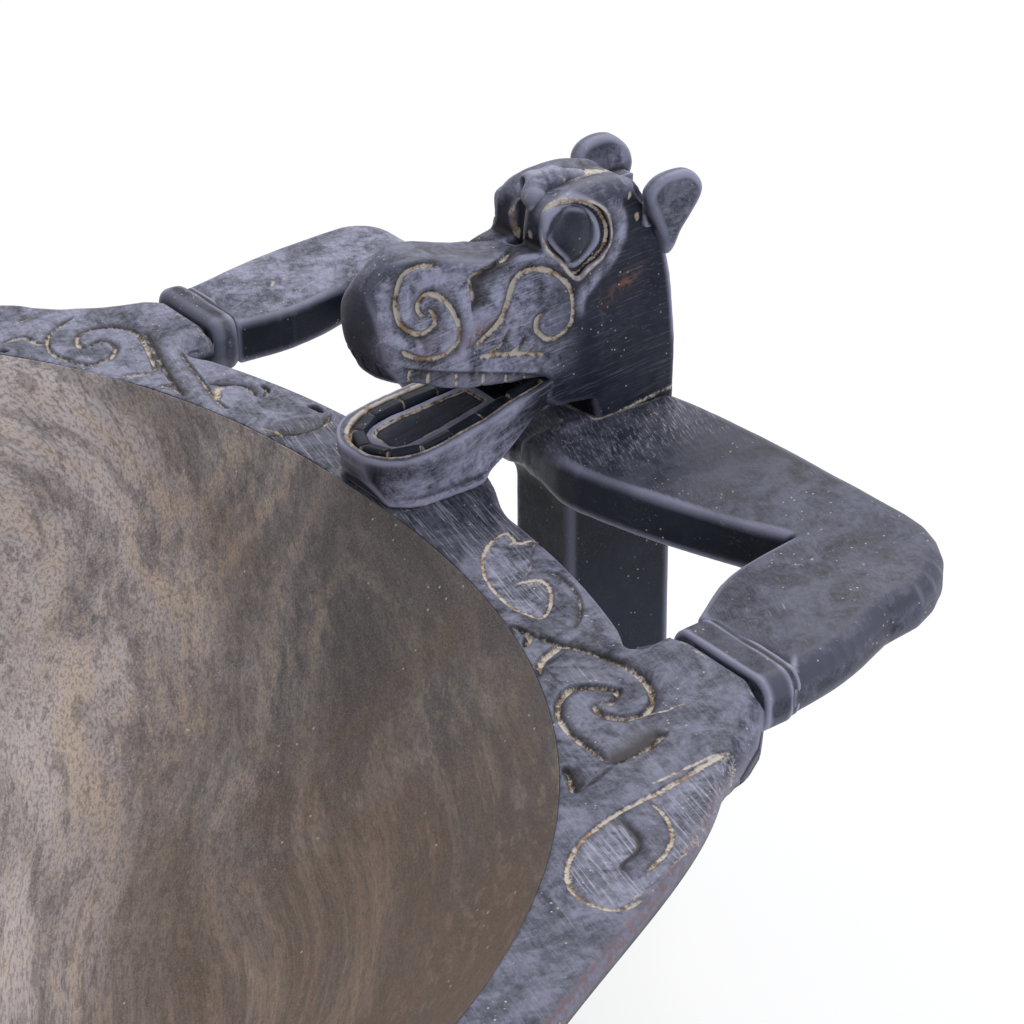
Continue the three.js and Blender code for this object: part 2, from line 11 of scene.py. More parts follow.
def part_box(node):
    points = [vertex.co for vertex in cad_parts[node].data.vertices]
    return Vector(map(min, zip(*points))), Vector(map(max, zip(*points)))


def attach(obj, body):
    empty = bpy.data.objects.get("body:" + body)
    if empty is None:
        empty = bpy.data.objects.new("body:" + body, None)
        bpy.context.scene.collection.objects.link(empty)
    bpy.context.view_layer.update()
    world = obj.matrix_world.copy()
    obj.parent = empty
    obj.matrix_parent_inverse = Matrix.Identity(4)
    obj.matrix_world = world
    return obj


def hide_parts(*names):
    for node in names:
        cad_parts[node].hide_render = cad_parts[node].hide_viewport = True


bl_info = {
    "name": "Carved feast bowl",
    "version": (1, 0, 0),
    "blender": (4, 5, 0),
    "location": "View3D > Sidebar > Feast Bowl",
    "description": "Carves an oval feast bowl held by a crouching figure at each end",
    "category": "Add Mesh",
}

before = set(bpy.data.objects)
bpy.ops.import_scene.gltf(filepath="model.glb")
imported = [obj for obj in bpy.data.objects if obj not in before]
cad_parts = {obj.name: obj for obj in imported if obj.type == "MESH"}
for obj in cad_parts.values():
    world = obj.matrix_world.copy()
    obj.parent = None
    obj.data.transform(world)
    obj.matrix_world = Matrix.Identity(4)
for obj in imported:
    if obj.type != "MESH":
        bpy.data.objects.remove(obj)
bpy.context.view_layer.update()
WRIST_RISE = 0.0035
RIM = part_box("bowl")[1].z - WRIST_RISE
BODY = "root"
MM = 0.001

# Each figure is carved in its own place: along from the end of the opening, across from the
# middle line, and up from the rim, all in millimetres. Left is the side of negative across.
FLOOR = -165.0
HALF_LENGTH = 286.0
HALF_WIDTH = 265.0
OVAL_POWER = 2.31
BOWL_DEPTH = 136.0
BOWL_CURVE = 2.6
BOWL_WALL = 14.0
RIM_THICKNESS = 10.0
RIM_REACH = 284.9
FOOT_HALF = (125.0, 112.5)
# How far below the rim the hollow starts, and its oval there as a share of the opening.
LIP_DROP = 0.4
WALL_TOP = (1 - LIP_DROP / BOWL_DEPTH) ** (1 / BOWL_CURVE)
HEAD_REACH = 111.0
HEAD_TOP = 89.4
ELBOW_REACH = HEAD_REACH + 5
POST_FRONT = 68.0
POST_HALF = 15.0
NECK_FRONT = 79.0
ARM_MIDDLE = -3.5
ARM_HALF = 8.6
ARM_SLOPE = 0.06
ARM_CROOK = (40.0, 80.0)
MUZZLE_HALF = 13.5
BAND_START = 21.0
BAND_END = 32.0
WRIST = (126.0, 167.0)
LIP_FRONT = 15.5
LIP_SLOPE = 0.169
# Where the carver's eye is, as along, across and up, when the scrolls are laid on the head.
SIGHT = (-406.0, -651.0, 395.0)
ENDS = (("front", 1), ("back", -1))
# Where the camera stands, in metres, and its bearing, dip and roll, in degrees.
CAMERA_SPOT = (-0.12009, -0.65117, 0.55973)
CAMERA_TURN = (54.610, 27.700, -0.540)


# ---------------------------------------------------------------- shaping tools

def ease(value, start, end):
    """0 before start, 1 after end, and a smooth step between them."""
    share = np.clip((value - start) / (end - start), 0, 1)
    return share * share * (3 - 2 * share)


def most(*values):
    """The largest of several values, place by place."""
    return functools.reduce(np.maximum, values)


def corner(a, b, radius):
    """What two solids share, with a round edge where they meet."""
    both = (a > -radius) & (b > -radius)
    return np.where(both, np.hypot(a + radius, b + radius) - radius, np.maximum(a, b))


def melt(a, b, radius):
    """Two solids joined, with a soft hollow where they meet."""
    share = np.clip(0.5 + 0.5 * (b - a) / radius, 0, 1)
    return b * (1 - share) + a * share - radius * share * (1 - share)


def scoop(a, b, radius):
    """A solid with another one cut out of it, softly."""
    return -melt(-a, b, radius)


def blob(u, y, z, centre, radii):
    """Distance to an egg shape."""
    p = [(value - middle) / radius for value, middle, radius in zip((u, y, z), centre, radii)]
    length = np.sqrt(sum(part ** 2 for part in p)) + 1e-6
    slope = np.sqrt(sum((part / radius) ** 2 for part, radius in zip(p, radii))) + 1e-6
    return length * (length - 1) / slope


def footprint(u, y, front, back, half):
    """Distance to a block that stands astride the middle line, 0 inside it."""
    return np.hypot(most(front - u, u - back, 0), np.maximum(np.abs(y) - half, 0))


def rod(u, y, z, start, end, radius_start, radius_end):
    """Distance to a round rod that tapers from one end to the other."""
    p = [u - start[0], y - start[1], z - start[2]]
    line = [b - a for a, b in zip(start, end)]
    share = np.clip(sum(a * b for a, b in zip(p, line)) / sum(a * a for a in line), 0, 1)
    gap = np.sqrt(sum((a - share * b) ** 2 for a, b in zip(p, line)))
    return gap - (radius_start + (radius_end - radius_start) * share)


def smooth_line(points, steps=6, closed=False):
    """A smooth line through points."""
    points = np.array(points, float)
    count = len(points)
    if closed:
        padded = np.vstack([points[-1], points, points[0], points[1]])
        spans = count
    else:
        padded = np.vstack([2 * points[0] - points[1], points, 2 * points[-1] - points[-2]])
        spans = count - 1
    line = []
    for span in range(spans):
        a, b, c, d = padded[span:span + 4]
        for step in range(steps):
            t = step / steps
            line.append(0.5 * (2 * b + (c - a) * t + (2 * a - 5 * b + 4 * c - d) * t * t
                               + (3 * b - a - 3 * c + d) * t ** 3))
    if not closed:
        line.append(points[-1])
    return np.array(line)


def run_along(path):
    """How far along a path each of its points is."""
    return np.concatenate([[0], np.cumsum(np.hypot(*np.diff(path, axis=0).T))])


def places_along(path, distances):
    """The places at distances along a path."""
    run = run_along(path)
    return np.stack([np.interp(distances, run, part) for part in path.T], -1)


def line_distance(x, y, line):
    """Distance to an open line, the side of it (1 is left), and how far along it."""
    best = np.full(x.shape, 1e12)
    side = np.ones(x.shape)
    along = np.zeros(x.shape)
    length = 0.0
    for start, end in zip(line[:-1], line[1:]):
        run = end - start
        size = math.hypot(*run)
        px, py = x - start[0], y - start[1]
        share = np.clip((px * run[0] + py * run[1]) / (size * size + 1e-12), 0, 1)
        gap = (px - run[0] * share) ** 2 + (py - run[1] * share) ** 2
        closer = gap < best
        best = np.where(closer, gap, best)
        side = np.where(closer, np.sign(run[0] * py - run[1] * px), side)
        along = np.where(closer, length + share * size, along)
        length += size
    return np.sqrt(best), side, along, length


def outline_distance(x, y, points):
    """Distance to a closed outline, negative inside it."""
    best = np.full(x.shape, 1e12)
    inside = np.zeros(x.shape, bool)
    for start, end in zip(points, np.roll(points, -1, axis=0)):
        run = end - start
        px, py = x - start[0], y - start[1]
        share = np.clip((px * run[0] + py * run[1]) / (run @ run + 1e-12), 0, 1)
        best = np.minimum(best, (px - run[0] * share) ** 2 + (py - run[1] * share) ** 2)
        if start[1] != end[1]:
            crosses = (start[1] > y) != (end[1] > y)
            inside ^= crosses & (px < run[0] * py / run[1])
    return np.where(inside, -1, 1) * np.sqrt(best)


def hand_waver(u, y, z, size, seed):
    """A gentle unevenness of about 1 either way, such as a hand tool leaves."""
    rng = np.random.default_rng(seed)
    total = np.zeros(np.shape(u))
    for _ in range(7):
        direction = rng.normal(size=3)
        direction *= rng.uniform(0.6, 1.6) / np.linalg.norm(direction) * 2 * math.pi / size
        total = total + np.sin(u * direction[0] + y * direction[1] + z * direction[2] + rng.uniform(0, 6.28))
    return total / 2.6


class Cut:
    """One stroke of the gouge along a line: its width and depth, the lime left in it, how wide a slope
    leads down to it on one side (the left, or the right if negative), and the run of its tapered ends."""

    def __init__(self, points, width=1.0, depth=0.9, lime=0.8, lean=0.0, taper=4.0, smooth=True):
        self.line = smooth_line(points) if smooth and len(points) > 2 else np.array(points, float)
        self.width, self.depth, self.lime, self.lean, self.taper = width, depth, lime, lean, taper


def carve_cuts(x, y, cuts):
    """Depth below the surface and the lime left in the cuts, at places on a flat face."""
    depth = np.zeros(x.shape)
    lime = np.zeros(x.shape)
    for cut in cuts:
        reach = max(cut.width * 2, abs(cut.lean)) + 1
        low, high = cut.line.min(axis=0) - reach, cut.line.max(axis=0) + reach
        near = np.flatnonzero((x > low[0]) & (x < high[0]) & (y > low[1]) & (y < high[1]))
        if not len(near):
            continue
        gap, side, along, length = line_distance(x[near], y[near], cut.line)
        thin = np.clip(np.minimum(along, length - along) / cut.taper, 0.05, 1) ** 0.6
        width = cut.width * (0.45 + 0.55 * thin)
        groove = np.clip(1 - (gap / width) ** 2, 0, 1) * thin * cut.depth
        if cut.lean:
            leaning = np.clip(1 - gap / abs(cut.lean), 0, 1) ** 1.6
            groove = np.maximum(groove, leaning * (side * cut.lean > 0) * cut.depth * 0.8 * thin)
        depth[near] = np.maximum(depth[near], groove)
        dusty = np.clip(1.25 - gap / width, 0, 1) * cut.lime * thin
        lime[near] = np.maximum(lime[near], dusty)
    return depth, lime


# ---------------------------------------------------------------- from shape to mesh

def carve(field, low, high, cell):
    """Meshes the surface of a solid, given the distance to it, in cells of one size."""
    low, high = np.array(low, float), np.array(high, float)
    # Every fourth place is measured first, and all places only near the surface.
    skip, near = 4, cell * 9
    counts = (np.ceil((high - low) / cell / skip).astype(int)) * skip + 1
    axes = [low[k] + cell * np.arange(counts[k]) for k in range(3)]
    rough = np.meshgrid(*[axis[::skip] for axis in axes], indexing="ij")
    coarse = field(*[part.ravel() for part in rough]).reshape(rough[0].shape)
    nearest = [np.round(np.arange(count) / skip).astype(int) for count in counts]
    values = coarse[np.ix_(*nearest)]
    where = np.nonzero(np.abs(values) < near)
    values[where] = field(*[axes[k][where[k]] for k in range(3)])

    # Each cell that the surface passes through has a point at the mean of its crossings.
    cells = tuple(n - 1 for n in counts)
    total = np.zeros(cells + (3,))
    hits = np.zeros(cells)
    for axis in range(3):
        others = [k for k in range(3) if k != axis]
        first = np.take(values, range(counts[axis] - 1), axis)
        second = np.take(values, range(1, counts[axis]), axis)
        crossing = (first < 0) != (second < 0)
        share = np.where(crossing, first / np.where(crossing, first - second, 1), 0)
        for a, b in ((0, 0), (0, 1), (1, 0), (1, 1)):
            pick = [slice(None)] * 3
            pick[others[0]] = slice(a, a + cells[others[0]])
            pick[others[1]] = slice(b, b + cells[others[1]])
            hit = crossing[tuple(pick)]
            total[..., axis] += np.where(hit, share[tuple(pick)], 0)
            total[..., others[0]] += np.where(hit, a, 0)
            total[..., others[1]] += np.where(hit, b, 0)
            hits += hit
    used = np.nonzero(hits)
    number = np.full(cells, -1)
    number[used] = np.arange(len(used[0]))
    points = low + (total[used] / hits[used][:, None] + np.stack(used, 1)) * cell

    # Each edge that the surface crosses has a face round it, turned outward.
    inside = values < 0
    quads = []
    for axis in range(3):
        b, c = (axis + 1) % 3, (axis + 2) % 3
        first = np.take(inside, range(counts[axis] - 1), axis)
        second = np.take(inside, range(1, counts[axis]), axis)
        index = np.stack(np.nonzero(first != second), 1)
        good = (index[:, b] > 0) & (index[:, c] > 0) & (index[:, b] < cells[b]) & (index[:, c] < cells[c])
        index = index[good]
        outward = first[tuple(index.T)]
        ring = []
        for db, dc in ((-1, -1), (0, -1), (0, 0), (-1, 0)):
            spot = index.copy()
            spot[:, b] += db
            spot[:, c] += dc
            ring.append(number[tuple(spot.T)])
        ring = np.stack(ring, 1)
        ring[~outward] = ring[~outward][:, ::-1]
        quads.append(ring)
    return points, np.vstack(quads)


def slopes(field, points, step=0.5):
    """Value and direction of a distance field at points."""
    u, y, z = points.T
    value = field(u, y, z)
    direction = np.stack([
        field(u + step, y, z) - field(u - step, y, z),
        field(u, y + step, z) - field(u, y - step, z),
        field(u, y, z + step) - field(u, y, z - step),
    ], 1) / (2 * step)
    return value, direction


def settle(field, points, cell):
    """Moves points onto the surface, and gives the way out and how sharply it bends there."""
    value, direction = slopes(field, points)
    size = np.maximum((direction ** 2).sum(1), 0.2)
    points = points - np.clip(value / size, -cell * 0.6, cell * 0.6)[:, None] * direction
    value, direction = slopes(field, points)
    normal = direction / np.maximum(np.linalg.norm(direction, axis=1), 1e-6)[:, None]
    u, y, z = points.T
    step = 1.6
    around = sum(field(u + a, y + b, z + c) for a, b, c in step * np.vstack([np.eye(3), -np.eye(3)]))
    bend = (around - 6 * value) / step ** 2
    return points, normal, bend


def place(points, end):
    """Figure millimetres to metres, at the front end (1) or, turned about, at the back (-1)."""
    points = np.asarray(points, float) * MM
    return (points + (HALF_LENGTH * MM, 0, RIM)) * (end, end, 1)


def new_object(name, data):
    """A new object in the scene."""
    item = bpy.data.objects.new(name, data)
    bpy.context.scene.collection.objects.link(item)
    return item


def make_piece(name, points, faces, material, traits=None):
    """A shaded mesh object at the origin, with its traits as attributes of its points."""
    data = bpy.data.meshes.new(name)
    faces = np.asarray(faces)
    data.vertices.add(len(points))
    data.vertices.foreach_set("co", np.asarray(points, np.float32).ravel())
    data.loops.add(faces.size)
    data.loops.foreach_set("vertex_index", faces.astype(np.int32).ravel())
    data.polygons.add(len(faces))
    data.polygons.foreach_set("loop_start", np.arange(0, faces.size, faces.shape[1], dtype=np.int32))
    data.update(calc_edges=True)
    data.validate()
    for trait, values in (traits or {}).items():
        attribute = data.attributes.new(trait, "FLOAT", "POINT")
        attribute.data.foreach_set("value", np.asarray(values, np.float32))
    data.shade_smooth()
    data.materials.append(material)
    piece = new_object(name, data)
    return piece


def both_ends(name, carving, material, *nodes):
    """The same carving at the front and, turned about, at the back, standing for its nodes."""
    points, faces, traits = carving
    for prefix, end in ENDS:
        piece = make_piece(f"{prefix}_{name}", place(points, end), faces, material, traits)
        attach(piece, BODY)
        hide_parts(*[node.format(prefix) for node in nodes])


def carved_solid(field, low, high, cell, detail):
    """A solid's mesh, cut back along its normals by detail, with its traits."""
    points, faces = carve(field, low, high, cell)
    points, normal, bend = settle(field, points, cell)
    depth, traits = detail(points, normal)
    points = points - normal * depth[:, None]
    points = np.clip(points, (-np.inf, -np.inf, FLOOR), (ELBOW_REACH - 0.1, np.inf, HEAD_TOP))
    # Paler edges where the surface bends outward: partly wear, partly painted highlight, left off where the
    # piece lies in shade.
    wear_and_highlight = np.clip(bend * 2.2 - 0.1, 0, 1) * (1 - np.clip(depth, 0, 1)) * (1 - traits.pop("in_shade", 0))
    # Painted shade in concave places and at the bottom of the cuts.
    hollow = np.maximum(np.clip(-bend * 2.4, 0, 1), traits.pop("sunk", 0))
    return points, faces, {"wear_and_highlight": wear_and_highlight, "hollow": hollow, **traits}


# ---------------------------------------------------------------- the carver's lines

# Strokes on the flank of the head, as along and up.
HEAD_CUTS = [
    Cut([(22.3, 74), (14.2, 76), (8.1, 74.4), (5.8, 68.3), (6, 63.5), (8.3, 58), (13.9, 54), (18.6, 54.6),
         (20, 57.6), (18.2, 60.6), (16.6, 60)], 1.15, 1.6, 1.05, -4.5),
    Cut([(16.8, 59), (14.4, 60.8), (14.2, 63.9), (16.9, 66), (22.1, 63.8), (26.3, 58.2), (28.7, 51.3),
         (26.8, 46.9), (21.6, 44.6), (14.8, 45.5), (10.1, 48.1), (6.5, 51)], 1.15, 1.6, 1.05, 4.0),
    Cut([(48, 74), (45.5, 72.0), (40.4, 69.4), (35.6, 68.1), (32.7, 67.2), (33.8, 61.4), (33.4, 55.7)],
         1.1, 2.0, 0.8, 8.0),
    Cut([(32.7, 67.2), (29.0, 65.6)], 0.9, 1.0, 0.7),
    Cut([(32.6, 43.3), (38.6, 46.7), (43.9, 50.6), (46.5, 56.2), (48.1, 61.4), (51.8, 64.3), (58.2, 63.7),
         (64.6, 60.5), (70, 54.4), (71.2, 48.4), (70.4, 42.9), (66.9, 39.8), (61.9, 39.4), (57.7, 42.9),
         (57.4, 47), (61, 49.7)], 1.15, 1.5, 1.05, 4.0),
    Cut([(35.2, 40.6), (47, 38.6), (60.4, 34.6)], 1.0, 1.0, 1.0, 0, 2.0),
    Cut([(38.4, 40.6), (43.6, 42.2), (47.4, 47.2)], 0.8, 1.3, 0.9, -2.6, 2.0),
    Cut([(46.4, 38.6), (50.8, 40.2), (53, 43.8)], 0.8, 1.3, 0.9, -2.6, 2.0),
    Cut([(52.6, 37), (55.4, 38.4), (57, 41.4)], 0.7, 1.0, 0.8, -2.2, 2.0),
    Cut([(7.2, 46), (9, 43.8), (19, 40.1), (35.4, 35.2), (50.4, 30.7), (61.6, 26.9)], 0.8, 0.9, 0.35, -9.0),
]
# Marks between the upper teeth, as along, top and bottom.
TOOTH_TICKS = [
    Cut([(along, top), (along - 0.6, bottom)], 0.9, 1.0, 0.9, 0, 0.6)
    for along, top, bottom in ((10.5, 43.0, 37), (17.4, 40.3, 33.7), (27.6, 37.1, 30.8), (37.6, 34.4, 28.3),
                               (46.2, 31.6, 26.9), (53, 29.4, 26))
]
# The same across the front of the muzzle, under the line of the lip, as across and up.
FRONT_CUTS = [Cut([(-12, 45.6), (-6, 46.4), (0, 46.8), (6, 46.4), (12, 45.6)], 0.8, 0.8, 0.4, 0, 1.0)] + [
    Cut([(across, top), (foot, 38)], 0.6, 0.8, 0.3, 0, 1.0)
    for across, top, foot in ((-7.5, 45.6, -7.2), (-1.8, 46, -1.8), (4, 46, 4), (9.4, 45, 9.2))
]
EYE_LINE = smooth_line([
    (61, 81.5), (67, 83.4), (73.7, 82.6), (80, 79), (84, 72.8), (84.3, 66.6), (80.5, 62.6), (76, 60.6),
    (71.4, 58.4), (66, 64.5), (61, 70.3), (59.4, 76)], 4, closed=True)
EYE_LENS = smooth_line([
    (60.6, 81), (67, 82.6), (73.2, 81.2), (78.4, 77.8), (81.4, 72.6), (81.6, 67.4), (78.4, 64), (71.6, 60.6),
    (66, 65.4), (61.6, 70.6), (59.8, 76)], 4, closed=True)
BROW_RIDGE = smooth_line([(87, 80), (91, 73), (90.4, 65), (86, 58.6), (79.6, 53.8), (74.6, 49.4), (72.6, 43)])
EAR_LINE = smooth_line([
    (94.5, 81.5), (98, 86), (104, 87.4), (110, 86.6), (115, 82.4), (116.6, 77.4), (114, 71.6), (110.6, 65.4),
    (108.6, 59), (105.6, 57.6), (103.8, 62.6), (100.6, 68.6), (97, 74.6)], 4, closed=True)
# Middle line and radii of the roll between the brows.
CREST_RUN = [(62.4, -4.8, 80.6), (63.2, -3.2, 83.4), (66.2, 0.6, 85.2), (73.0, 1.0, 85.4), (83.0, 0.4, 84.0)]
CREST_RADII = (2.0, 3.2, 3.9, 3.7, 2.4)
# White drips on the forehead, as along, up and across.
DRIPS = [(60.4, 76, 4), (60.4, 73, -6.6), (61, 84, -2), (70, 85, 4), (84, 85, -9), (92, 80, -14),
         (96, 72, -14.5), (75, 83, -13), (88, 84, 2)]

# Where red-brown shows through on the flank: strength, along, up, slope, length and height.
RUB_SPOTS = [(1.5, 37, 49, 0.3, 7, 3), (1.5, 91, 50, 0.5, 6, 2.6), (0.4, 18, 50, 0, 7, 3)]

# Strokes on the near side of the rim, as along and across.
NEAR_CUTS = [
    Cut([(22, -56), (18.8, -53.6), (15.5, -55.5)], 0.9, 0.8, 0.8),
    Cut([(24.5, -60.5), (24.4, -56.2), (19.6, -54.9), (20.3, -48), (13.1, -50.1), (4.2, -58.2),
         (-1.6, -69.7), (-4.2, -83), (-3.2, -90.9), (-1.1, -95.3), (5.5, -90.5), (10.9, -82.5), (11.4, -77),
         (6.5, -74.8), (3.6, -75.6)], 0.8, 0.7, 0.95, 2.6),
    Cut([(12, -71.8), (16.4, -75), (17, -83), (13.9, -92.7), (8.2, -100.7), (3.6, -104.6), (1.3, -103)],
         0.9, 0.9, 0.5, -3.6),
    Cut([(-11.4, -92.6), (-9.2, -101.1), (-14.7, -105.3)], 1.5, 2.2, 0.8, 0, 3.0, False),
    Cut([(-9.2, -101), (-5.6, -110), (-1.3, -119.9), (1.0, -130.2), (0.7, -139.2), (-1.8, -146.4),
         (-6.6, -151.5), (-10.9, -152.2), (-15.2, -150.8), (-17.9, -147.2), (-18, -142.6), (-15.6, -140.6)],
         1.3, 1.8, 0.8, 3.4),
    Cut([(-11.6, -142.4), (-8.4, -139.6), (-9, -136.6), (-12.5, -132.9), (-17.3, -130.9), (-23.3, -133.9),
         (-27.7, -138.9), (-30.6, -146.7), (-31.5, -156.4), (-31.6, -167)], 1.3, 1.8, 0.8, 3.4),
    Cut([(-16.2, -141), (-13.6, -143.4), (-11.2, -141.6)], 1.1, 1.3, 0.75, 0, 1.0),
    Cut([(-31.6, -167.8), (-21, -167), (-10, -163.4)], 1.4, 2.4, 0.9, 8.5, 3.0, False),
    Cut([(-5.4, -110.4), (-14, -113.5), (-20.3, -119.4)], 1.5, 1.7, 0.9, 4.0, 2.0),
    Cut([(-42.2, -161), (-44.4, -166.4), (-47.4, -172.8)], 1.3, 2.2, 0.8, 4.4, 2.0),
    Cut([(-47.4, -172.8), (-40, -171.6), (-32.2, -168.4)], 0.6, 0.8, 0.15, 0, 2.0),
    Cut([(-2.4, -179.7), (-16, -182.4), (-30.6, -184.9), (-44.4, -186.4), (-57, -189.8), (-67.3, -196.6),
         (-72.7, -204.2), (-73.6, -211.1), (-71.6, -216.7), (-67.5, -219.6), (-61, -219)],
         0.9, 0.8, 1.0, 3.0),
    Cut([(-34.2, -185.2), (-34.9, -193.4), (-39, -201.9), (-46, -207.5), (-55.7, -211)],
         0.9, 0.9, 0.95, -2.6),
    Cut([(-44.9, -187.4), (-46, -196.4), (-49.6, -201.6), (-56.9, -204.6), (-57.6, -208.6)],
         0.9, 1.1, 0.3, 2.6),
]
# Places inside the near scroll and hand that are carved down, with their depths.
NEAR_FIELDS = [
    (smooth_line([
        (24, -57.5), (20, -54.8), (20.3, -48), (13.1, -50.1), (4.2, -58.2), (-1.6, -69.7), (-4.2, -83),
        (-3.2, -90.9), (-1.1, -95.3), (5.5, -90.5), (10.9, -82.5), (11.4, -77), (6.5, -74.8), (12, -71.5),
        (17, -66)], 3, closed=True), 0.8),
    (smooth_line([
        (-2.4, -179.7), (-30.6, -184.9), (-44.4, -186.4), (-57, -189.8), (-67.3, -196.6), (-72.7, -204.2),
        (-73.6, -211.1), (-71.6, -216.7), (-66, -219), (-48, -213), (-26, -203), (-12, -193)],
        3, closed=True), 0.7),
]
# The finger that is left standing in the hand.
FINGER = smooth_line([
    (-34.4, -186), (-34.9, -193.4), (-39, -201.9), (-46, -207.5), (-55.7, -211), (-58, -208.6),
    (-56.6, -204.4), (-49.4, -201.6), (-46, -196.4), (-44.8, -187)], 3, closed=True)
# Pale scratches on the rim, its wrists and its hands.
KNOCKS = [
    Cut([(-10.9, -157.6), (-8.4, -154.0), (-3.7, -155.6), (0.7, -155.7), (3.2, -160.4)], 0.45, 0.15, 1.0),
    Cut([(3.3, -164.9), (6.2, -168.9)], 0.45, 0.15, 0.9), Cut([(-6, -160), (-2, -163)], 0.35, 0.1, 0.8),
    Cut([(-33.3, -181.5), (-15.7, -180.4), (-3.2, -179.6)], 0.8, 0.1, 0.9, 0, 8.0),
    Cut([(-30.1, 180.5), (-24.6, 180.7), (-16.1, 183)], 0.7, 0.1, 0.9),
    Cut([(-9, 141), (-3, 133)], 0.5, 0.1, 0.8),
    Cut([(-12, 128), (-9, 125)], 0.6, 0.1, 0.8), Cut([(2, 62), (6, 59)], 0.5, 0.1, 0.7),
    Cut([(-2.4, 58), (0.6, 52), (1.8, 46)], 0.9, 0.2, 1.0, 0, 5.0),
]
# Strokes on the far side of the rim, as along and across.
FAR_CUTS = [
    Cut([(-8.2, 173.8), (-15.6, 169.6), (-22.6, 164.2), (-26.7, 157.8), (-28.5, 149.9), (-26.7, 142.4),
         (-23.3, 135.8), (-17.8, 134.7), (-12.7, 137.1), (-8.9, 141.5), (-8.5, 146.3), (-10.4, 149.9),
         (-13.8, 148.6), (-16.9, 146.4)], 1.2, 1.5, 0.7, -3.0),
    Cut([(-16.9, 146.4), (-18.2, 150.5), (-16, 156.1), (-12.2, 159.6), (-7.2, 160.2), (-1.8, 157.2),
         (0.7, 153.2), (2, 146.9), (0.9, 139.3), (-2.3, 129.3), (-5.2, 121.3), (-8.1, 115.5)],
         1.3, 1.6, 0.75, 3.6),
    Cut([(-8.1, 115.5), (-11.8, 116.3), (-15.8, 118.8), (-19.5, 120.4)], 1.5, 1.2, 1.0, 0, 3.0),
    Cut([(4.4, 146), (2.9, 140), (-0.6, 128.1), (-5.4, 111.4), (-7.9, 101.5), (-9.4, 92.9)],
         1.2, 1.7, 0.5, 4.6),
    Cut([(6.8, 124.6), (3.8, 112.6), (1.7, 102.2), (-1.4, 89), (-2.7, 80.3), (-2.1, 76.1)],
         0.9, 1.1, 0.6, -3.4),
    Cut([(0.6, 98), (5.7, 93.3), (9.5, 90.6), (10.9, 86.5), (10.5, 82), (9.7, 78.7)], 1.0, 1.7, 0.8, 4.0),
    Cut([(9.7, 78.7), (12.4, 78.2), (15, 81), (15.6, 86.4)], 1.1, 1.6, 0.6, 0, 3.0),
    Cut([(-2, 84), (1.6, 91), (6, 92)], 1.8, 1.0, 1.0, 0, 3.0),
    Cut([(19.4, 62.6), (20.4, 59.4), (20.6, 55.6)], 1.5, 2.6, 0.5, 0, 2.0),
    Cut([(22, 53.1), (16.2, 47.6), (10.7, 46.2), (5, 46.8), (-0.5, 50), (-5, 52.4)], 1.1, 1.5, 0.8, -4.0),
    Cut([(-13.6, 104.8), (-10.6, 103.5), (-9.1, 99.5), (-9.2, 96.6)], 1.3, 1.3, 0.9, 0, 2.0),
    Cut([(-38.9, 169), (-34.4, 168.8), (-30.3, 167.9), (-28.8, 160.4), (-26.7, 157.8)],
         1.4, 1.3, 0.9, 0, 3.0),
    Cut([(-41.2, 164.5), (-41, 161.8), (-39.4, 161.1)], 1.6, 2.2, 0.3, 0, 2.0),
    Cut([(-39, 174), (-44, 182), (-54, 194), (-66, 202), (-74, 212)], 1.2, 1.3, 0.5, 3.0),
    Cut([(-48, 180), (-50, 192), (-57, 202), (-64, 203)], 1.0, 1.1, 0.5, -2.6),
]
# Scores of the gouge on the front of the chest and post, as across and up.
CHEST_SCORES = [
    Cut([(-13, -2), (-11.5, -10)], 0.5, 0.4, 0.7), Cut([(-5, -1), (-4.4, -12)], 0.5, 0.4, 0.7),
    Cut([(-9.4, 2), (-8.6, -7)], 0.5, 0.4, 0.7), Cut([(4, 0), (5, -9)], 0.5, 0.4, 0.6),
    Cut([(-12, -62), (0, -63.4), (11, -61)], 0.6, 0.3, 0.8),
    Cut([(-13, -78), (-2, -80), (9, -77.6)], 0.6, 0.3, 0.8),
    Cut([(-8, -94), (6, -96)], 0.5, 0.3, 0.6), Cut([(-10, -50), (-1, -48.6)], 0.5, 0.3, 0.6),
]
# Pale knocks on the arms, as along and across.
ARM_KNOCKS = [
    Cut([(66, -122), (68.6, -124.5), (69.4, -128)], 0.9, 0.2, 1.0),
    Cut([(72, -123), (75, -126.4)], 1.0, 0.2, 1.0),
    Cut([(78, -123), (80.4, -124.6), (82, -128)], 1.0, 0.2, 0.9),
    Cut([(67, -131), (70, -133)], 0.7, 0.2, 0.9),
    Cut([(100, -130), (104, -131.4)], 0.5, 0.1, 0.9), Cut([(74, -133), (78, -136)], 0.6, 0.1, 0.8),
    Cut([(52, 140), (56, 144), (57, 149)], 0.8, 0.2, 0.9), Cut([(58, 132), (64, 134)], 0.5, 0.1, 0.8),
    Cut([(60, 141), (61, 146)], 0.7, 0.1, 0.9), Cut([(88, 108), (94, 104)], 0.5, 0.1, 0.8),
]

